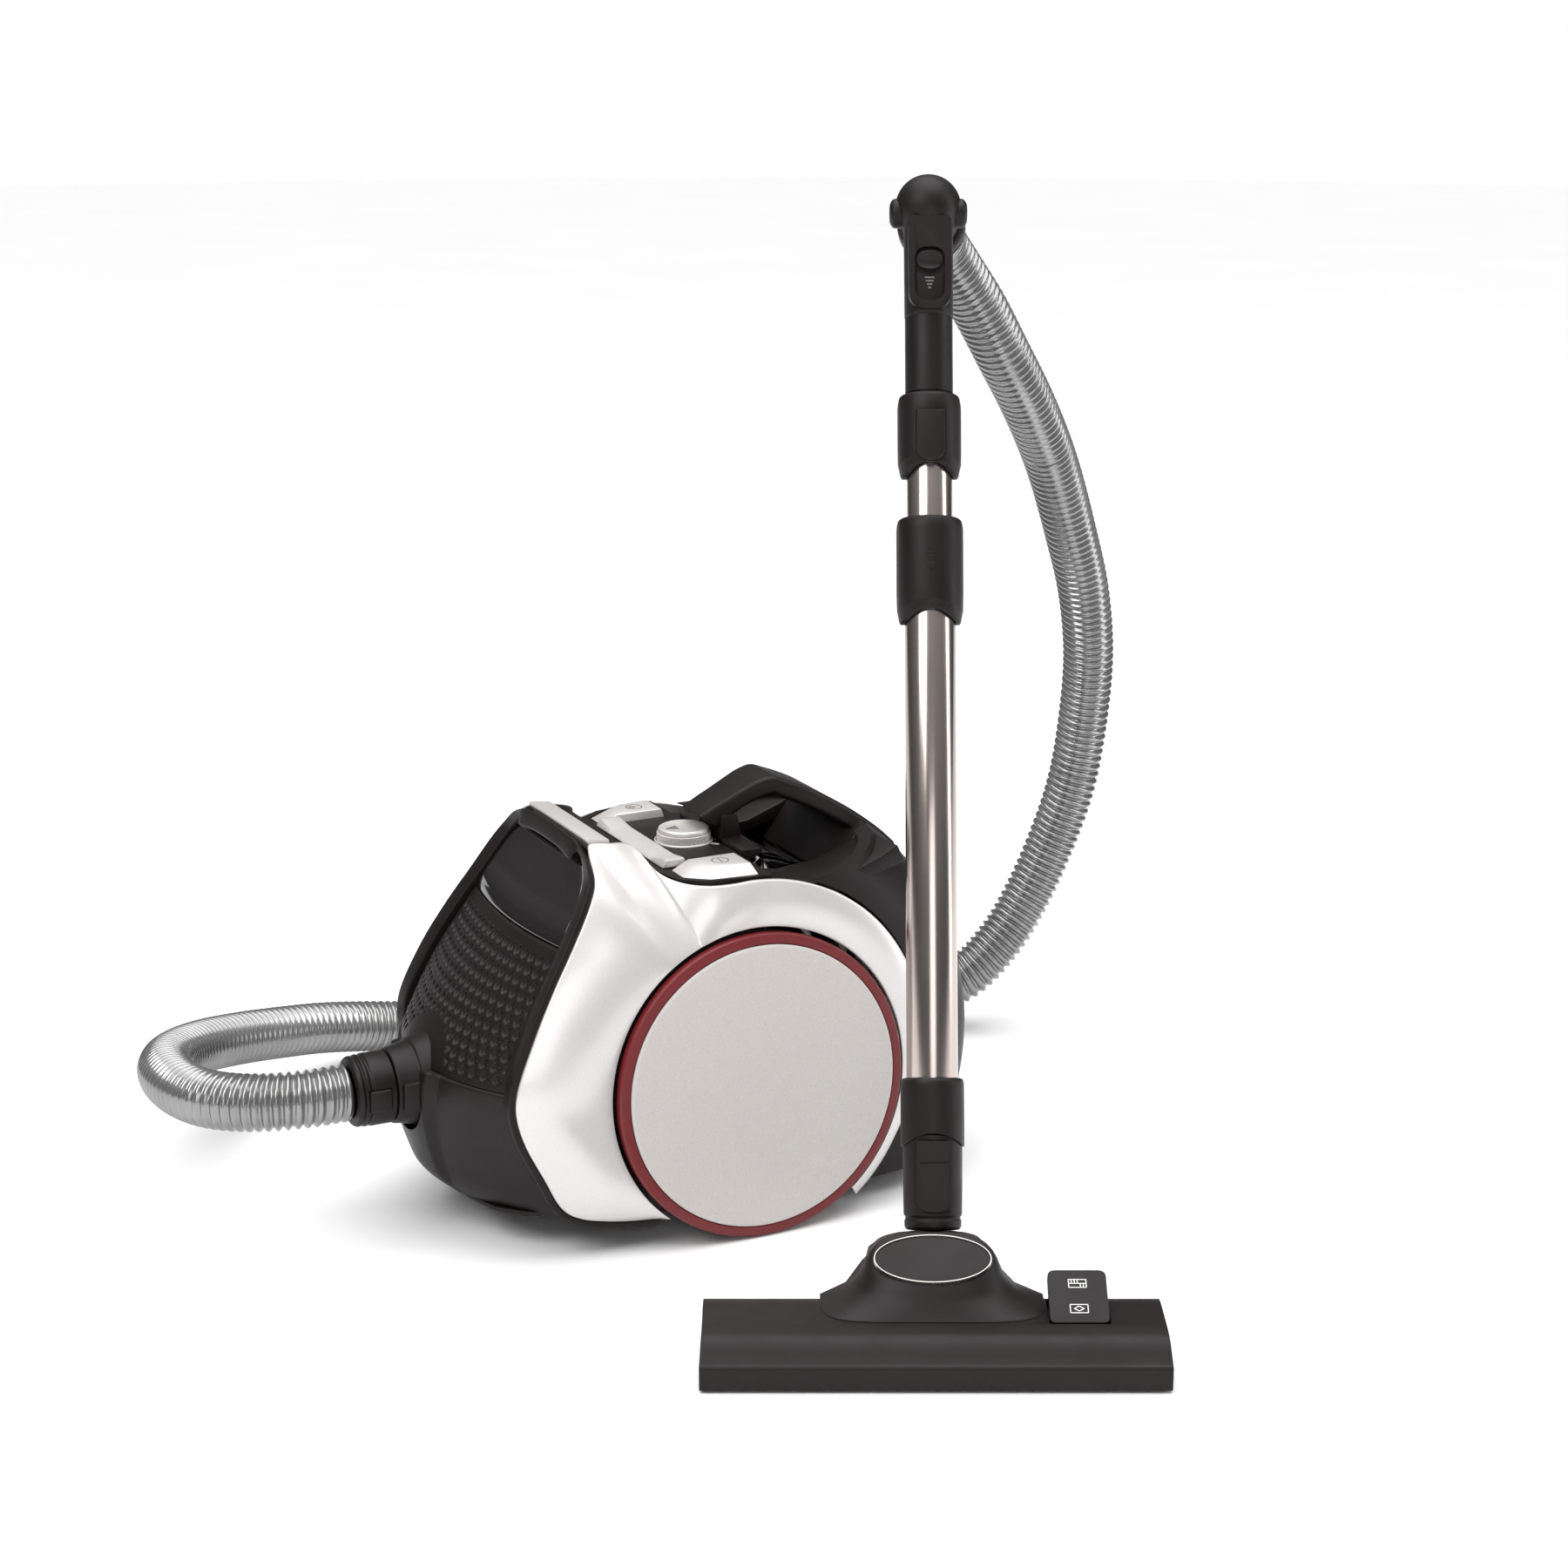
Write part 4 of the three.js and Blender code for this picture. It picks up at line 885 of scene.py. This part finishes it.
def hood_ring(z, half_width, front, back):
    ring = []
    widest = max(min(70, back - 1.5), front + 0.8)
    square = np.interp(z, [31, 42], [0.42, 0.8])  # the foot is nearly rectangular
    for i in range(33):
        t = pi * (1 - i / 32)
        c = cos(t)
        ring.append((half_width * copysign(abs(c) ** square, c),
                     widest - (widest - front) * abs(sin(t)) ** square, z))
    waist = half_width * np.interp(z, [31, 47], [0.76, 0.92])
    tail = half_width * np.interp(z, [31, 41], [0.6, 0.78])
    middle_y = widest + (back - widest) * 0.35
    return ring + [(waist, middle_y, z), (tail, back, z), (-tail, back, z), (-waist, middle_y, z)]


ball = moved(turned([(17.6 * cos(a), 17.6 * sin(a)) for a in np.linspace(-pi / 2, pi / 2, 25)], 48),
             Matrix.Translation(PIVOT))
pocket = moved(rod(19.4, 58, 120, 64), shift(PIVOT[0], PIVOT[1], 0))
piece("head_hood", loft(refine([hood_ring(*row) for row in HOOD_ROWS], 48)), AT_HEAD, "head_cover", crease=38,
      adds=[block(-24, 24, 80.8, 120, 12, 42)],
      cuts=[block(PIVOT[0] - 21, PIVOT[0] + 21, PIVOT[1], PIVOT[1] + 60, 43, 120), ball, pocket])

AT_BADGE = AT_HEAD @ shift(0, 59.6, 58.4) @ spin(radians(31), "X")


def level_oval(rx, ry, z):
    return [(x, y, z) for x, y in oval(rx, ry, 96)]


badge_ring = [level_oval(36.3 - d, 17.8 - d, z) for d, z in
              ((0, 0), (0, 1.9), (0.3, 2.4), (0.8, 2.4), (1.1, 1.9), (1.1, 0.3))]
piece("badge_ring", loft(badge_ring, loop=True), AT_BADGE, "badge_plate", finish=CHROME)
badge_rows = [level_oval(35.3 * f, 16.8 * f, z) for f, z in
              ((1, 0), (1, 1.5), (0.9, 1.75), (0.6, 1.95), (0.3, 2.05), (0.02, 2.1))]
piece("badge_face", loft(badge_rows), AT_BADGE)

PEDAL_SLOPE = atan2(19.2, 33.5)
AT_PEDAL = AT_HEAD @ shift(88.6, 30.5, 30.9) @ spin(PEDAL_SLOPE, "X")
piece("pedal_plate", prism(fillet(oblong(-18, 18, 0, 38.4), [3.5, 3.5, 5, 5], 6), -5, 0),
      AT_PEDAL, "mode_pedal", bevel=1.2, bevel_steps=4, adds=[block(-17.4, 17.4, 3, 36, -10, -3)])
carpet = stroke(oblong(-5.4, 5.4, 25.6, 31.4), 0.6, 0.1, True)
for x in (-3.6, -1.8, 0, 1.8, 3.6):
    carpet += stroke([(x, 25.8), (x, 28.5)] if x > 0 else [(x, 28.5), (x, 31.2)], 0.6, 0.12)
carpet += stroke([(-5.2, 28.5), (5.2, 28.5)], 0.6, 0.12)
hard_floor = stroke(oblong(-5.4, 5.4, 7, 13), 0.6, 0.1, True)
hard_floor += stroke([(-3, 10), (0, 11.8), (3, 10), (0, 8.2)], 0.6, 0.12, True)
piece("pedal_marks", merged(*carpet, *hard_floor), AT_PEDAL, body=BODY_OF["mode_pedal"], finish=MARK_WHITE,
      slot="silver_paint", flat=True)
for side_name, x in (("left", -34), ("right", 34)):
    tread = fillet([(2, -6), (7.6, -6), (9, -4), (9, 4), (7.6, 6), (2, 6)], 0.8, 3)
    piece(f"{side_name}_head_wheel", moved(turned(tread, 56), shift(x, 104, 9) @ ALONG_X), AT_HEAD,
          f"{side_name}_head_roller")

# ------------------------ neck, collar and tubes
elbow = [(0.01, -26)] + [(16 * cos(a), 16 * sin(a) - 10) for a in np.linspace(-pi / 2, 0.355, 18)][1:]
elbow += [(9.8, -4.3), (9.8, 44), (0.01, 44)]
piece("elbow_ball", turned(elbow, 72), WAND, "neck_elbow")
connector = fillet([(10.2, -3.4), (16.8, -3.4), (17.8, -1.4), (17.9, 2.4), (17.2, 3.4), (17.2, 4.6),
                    (18.3, 5.8), (18.5, 20), (18.7, 55.8), (10.2, 55.8)],
                   [0.4, 1, 0.8, 0.6, 0.5, 0.5, 0.8, 6, 0.8, 0.4], 4)
piece("connector_tube", turned(connector, 96), WAND, "neck_connector", bevel=0.5,
      cuts=[block(-11, 11, -30, -15.4, 7.5, 52.5)])
TO_FRONT = spin(pi / 2, "X")
latch = prism(fillet(oblong(-10.6, 10.6, 8, 52), [9.5, 9.5, 1, 1], 8), 15.9, 20.2)
piece("connector_latch", moved(latch, TO_FRONT), WAND, "neck_latch", bevel=1.2, bevel_steps=4,
      cuts=[moved(block(-8.6, 8.6, 38, 38.9, 19.3, 22), TO_FRONT)])


def arched(profile, drop, below, segments=112):
    """A turned sleeve whose lower end reaches further down at its sides than in front and behind."""
    verts, faces = turned(profile, segments)
    across2 = verts[:, 0] ** 2 / np.maximum(verts[:, 0] ** 2 + verts[:, 1] ** 2, 1e-9)
    share = np.clip((below - verts[:, 2]) / (below - min(h for _, h in profile)), 0, 1)
    verts = verts.copy()
    verts[:, 2] += drop * (1 - across2) * share
    return verts, faces


collar = fillet([(18.95, 48), (19.6, 48), (20, 49), (20, 87.4), (19.2, 90.4), (16.6, 91), (16.6, 57),
                 (18.95, 56.8)],
                [0.1, 0.3, 0.6, 2, 1.4, 0.4, 0.4, 0.2], 4)
piece("tube_collar", arched(collar, 8.5, 80), WAND, "lower_collar")
for name, node, r0, r1, low, high in (("lower", "outer_tube", 15.2, 16.2, 57, 440),
                                      ("upper", "inner_tube", 13.7, 14.6, 112, 500)):
    wall = fillet(oblong(r0, r1, low, high), 0.3, 2)
    piece(f"{name}_steel_tube", turned(wall, 128), WAND, node, crease=40)
sleeve = fillet([(16.6, 378), (18.9, 378), (19.7, 379.4), (20.6, 384.4), (21.1, 386.4), (21.4, 396),
                 (21.4, 440), (20.4, 444.6), (18.6, 446), (16.6, 446)],
                [0.4, 0.8, 0.8, 0.8, 1, 4, 3, 1.6, 1, 0.4], 4)
piece("lock_sleeve", arched(sleeve, 8, 404), WAND, "telescope_sleeve", crease=40)


def on_front(shapes, radius, s):
    """Flat marks (x, along) wrapped on the front of a round piece of that radius, at height s."""
    verts, faces = merged(*shapes)
    angle = verts[:, 0] / radius
    reach = radius + verts[:, 2]
    return np.stack([reach * np.sin(angle), -reach * np.cos(angle), verts[:, 1] + s], axis=1), faces


def arrows(s):
    """An arrow up, an arrow down and three bars between them."""
    up = [prism([(-3.6, 3.6), (3.6, 3.6), (0, 9.2)], -0.6, 0.45),
          prism([(-3.6, -3.6), (0, -9.2), (3.6, -3.6)], -0.6, 0.45)]
    bars = [prism(oblong(-3.6, 3.6, h - 0.45, h + 0.45), -0.6, 0.45) for h in (-2.2, 0, 2.2)]
    return on_front(up + bars, 21.35, s)


piece("sleeve_arrows", arrows(419), WAND, body=BODY_OF["telescope_sleeve"], bevel=0.15)

socket = fillet([(15, 472), (17.6, 472), (18.6, 473.4), (19.6, 478.6), (20.2, 480.4), (20.4, 490),
                 (20.4, 519), (19.2, 525.4), (15, 526.7)], [0.4, 0.8, 0.8, 0.8, 1, 6, 4, 2, 0.6], 5)
piece("wand_socket", arched(socket, 8.5, 500), WAND, "coupling_socket", bevel=0.4,
      cuts=[block(-9.5, 9.5, -30, -17.6, 480.5, 513.5)])
tab = prism(fillet(oblong(-9, 9, 481, 513), [8, 8, 1, 1], 8), 18.4, 22.2)
piece("socket_tab", moved(tab, TO_FRONT), WAND, "socket_latch", bevel=1.3, bevel_steps=4)

# ------------------------ handle
HANDLE = BODY_OF["wand_handle"]
HEAD_S = 650  # how far along the wand the handle's ball is
low_rows = [(527.5, 15.3, 15.3), (576.8, 15.3, 15.3), (577.3, 15.6, 16.2), (578.4, 15.6, 17),
            (600, 15.7, 17.3), (630, 15.9, 17.6)]
ball_rows = [(HEAD_S + 21.2 * sin(a), 21.2 * cos(a), 21.2 * cos(a))
             for a in np.linspace(-0.62, pi / 2 - 0.03, 40)]
middle_rows = [(634, 16.1, 17.6), (636.4, 16.6, 17.6)]


def handle_ring(s, rx, ry):
    return [(rx * cos(2 * pi * i / 96), ry * sin(2 * pi * i / 96), s) for i in range(96)]


shaft = loft([handle_ring(*row) for row in low_rows + middle_rows + ball_rows])
spigot = rod(14.2, 502, 530)
OUTLET = Vector((0.1, 0.91, -0.4)).normalized()
OUTLET_LOCAL = Matrix.Rotation(LEAN, 3, "X") @ OUTLET
AT_OUTLET = shift(0, 0, HEAD_S) @ Vector((0, 0, 1)).rotation_difference(OUTLET_LOCAL).to_matrix().to_4x4()
stub = fillet([(0.01, 0), (17.5, 0), (17.9, 20), (18.6, 26), (18.6, 29.4), (0.01, 29.4)],
              [0, 0, 3, 2, 0.7, 0], 3)
stub = moved(turned(stub, 72), AT_OUTLET)
boss = fillet([(0.01, -25), (6, -25), (9.5, -22.8), (9.5, 22.8), (6, 25), (0.01, 25)],
              [0, 2, 2.4, 2.4, 2, 0], 5)
boss = moved(turned(boss, 64), shift(0, 0, HEAD_S - 4) @ ALONG_X)


def front_slab(outline, near, far, radii, steps=8):
    """A plate on the handle's front: outline is (x, along), near and far are distances towards the user."""
    return moved(prism(fillet(outline, radii, steps), near, far), TO_FRONT)


well = front_slab(oblong(-9.6, 9.6, 584.6, 619.4), 14.2, 40, [9, 9, 8, 8])
saddle = front_slab([(-13.4, 579), (13.4, 579), (13.8, 640), (-13.8, 640)], 10, 18.4, [12, 12, 4, 4])
piece("handle_body", shaft, WAND, "wand_handle", adds=[spigot, boss, stub, saddle], cuts=[well], bevel=0.5,
      crease=38)
panel = front_slab(oblong(-9.3, 9.3, 585, 603.4), 12.4, 14.45, [8.6, 8.6, 0.6, 0.6])
piece("handle_panel", panel, WAND, body=HANDLE, bevel=0.15)
marks = []
for h, w in ((600.2, 6.2), (598.0, 4.8), (595.8, 3.4), (593.6, 2.0)):
    marks.append(block(-w / 2, w / 2, -14.6, -14.3, h - 0.45, h + 0.45))
piece("handle_scale", merged(*marks), WAND, body=HANDLE, finish=MARK_GREY, slot="silver_paint", flat=True)
slide = front_slab(oval(8.4, 6.0, 48, 2.1, 0, 611), 14.7, 18.8, 0, 1)
piece("suction_button", slide, WAND, "suction_slider", bevel=1.0, bevel_steps=4,
      cuts=[moved(rod(7, -12, 12), shift(0, -23.8, 609) @ ALONG_X)])
swivel = fillet([(0.01, 30), (20.6, 30), (22.2, 32.4), (22.4, 35), (22.4, 40), (21.6, 40.8), (21.6, 41.6),
                 (22.3, 42.6), (22.3, 45), (20.4, 47.4), (0.01, 47.4)],
                [0, 1.2, 1, 1, 0.6, 0.4, 0.4, 0.6, 1.2, 1, 0], 3)
piece("hose_collar", moved(turned(swivel, 96), AT_OUTLET), WAND, "hose_end_swivel")

# ------------------------ hose
HOSE_ROUTE = [(249.6, 0, 101), (257, 0, 101), (271, -0.2, 101), (287, -3, 100.7), (305, -11.5, 99.6),
              (321, -25, 98.2), (333, -43, 96.7), (340, -68, 94.6), (341, -98, 91.5), (336, -131, 87),
              (324, -163, 81), (305, -193, 74), (280, -221, 66), (248, -247, 57), (213, -269, 48),
              (177, -286, 40), (142, -297, 32), (104, -301, 25), (58, -299, 21), (8, -293, 20),
              (-45, -282, 20), (-98, -267, 20), (-150, -248, 20), (-200, -225, 20.5), (-246, -201, 22.5),
              (-284, -180, 29), (-316, -164, 43), (-344, -158, 70), (-367, -155, 105), (-386, -150, 150),
              (-398, -143, 196), (-403, -136, 250), (-400, -126, 305), (-386, -113, 358), (-363, -96, 407),
              (-329, -70, 466), (-290, -40, 516), (-253.9, -17.5, 558.7), (-226.9, -4.7, 593),
              (-203.5, 5.4, 618.5), (-181.1, 18.8, 640), (-169, 32.5, 647.5), (-164.3, 39.9, 651.2)]
HOSE_CUTS = (0, 0.67, 0.85, 1)
HOSE_R, RIB_DEPTH, HOSE_PITCH, STEPS_PER_PITCH, HOSE_SIDES = 19.5, 2.8, 6.0, 9, 36
line = spline(HOSE_ROUTE, 4000)
hose_length = float(np.sum(np.linalg.norm(np.diff(line, axis=0), axis=1)))
count = int(round(hose_length / HOSE_PITCH * STEPS_PER_PITCH)) + 1
line = spline(HOSE_ROUTE, count)
tangent = np.gradient(line, axis=0)
tangent /= np.linalg.norm(tangent, axis=1)[:, None]
first = np.cross(tangent[0], (0, 0, 1))
first /= np.linalg.norm(first)
normals = [first]
for i in range(1, count):
    n = normals[-1] - tangent[i] * np.dot(normals[-1], tangent[i])
    normals.append(n / np.linalg.norm(n))
normals = np.array(normals)
binormals = np.cross(tangent, normals)
angles = 2 * np.pi * np.arange(HOSE_SIDES) / HOSE_SIDES
# Node, the two bodies each length hangs between, and where its blend starts if not at its own lower end.
HOSE_PARTS = (("hose_lower", "chassis", "neck", (-290, -180, 30)), ("hose_middle", "neck", "wand", None),
              ("hose_upper", "wand", "upper_wand", None))


def hose_part(k, node, body_a, body_b, start):
    """One corrugated length: a single helical rib turned along its stretch of the hose's line."""
    low = int(round(HOSE_CUTS[k] * (count - 1)))
    high = int(round(HOSE_CUTS[k + 1] * (count - 1)))
    rings = []
    for i in range(low, high + 1):
        phase = i / STEPS_PER_PITCH + angles / (2 * np.pi)
        wave = 0.5 + 0.5 * np.cos(2 * np.pi * phase)
        r = HOSE_R - RIB_DEPTH * (1 - wave**0.75)
        outward = normals[i] * np.cos(angles)[:, None] + binormals[i] * np.sin(angles)[:, None]
        rings.append(line[i] + outward * r[:, None])
    made = bare(f"{node}_corrugated", loft(rings), CAN)
    made.data.shade_smooth()
    made.data.materials.append(MATERIALS["hose_grey"])
    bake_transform(made)
    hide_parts(node)


for k, part in enumerate(HOSE_PARTS):
    hose_part(k, *part)
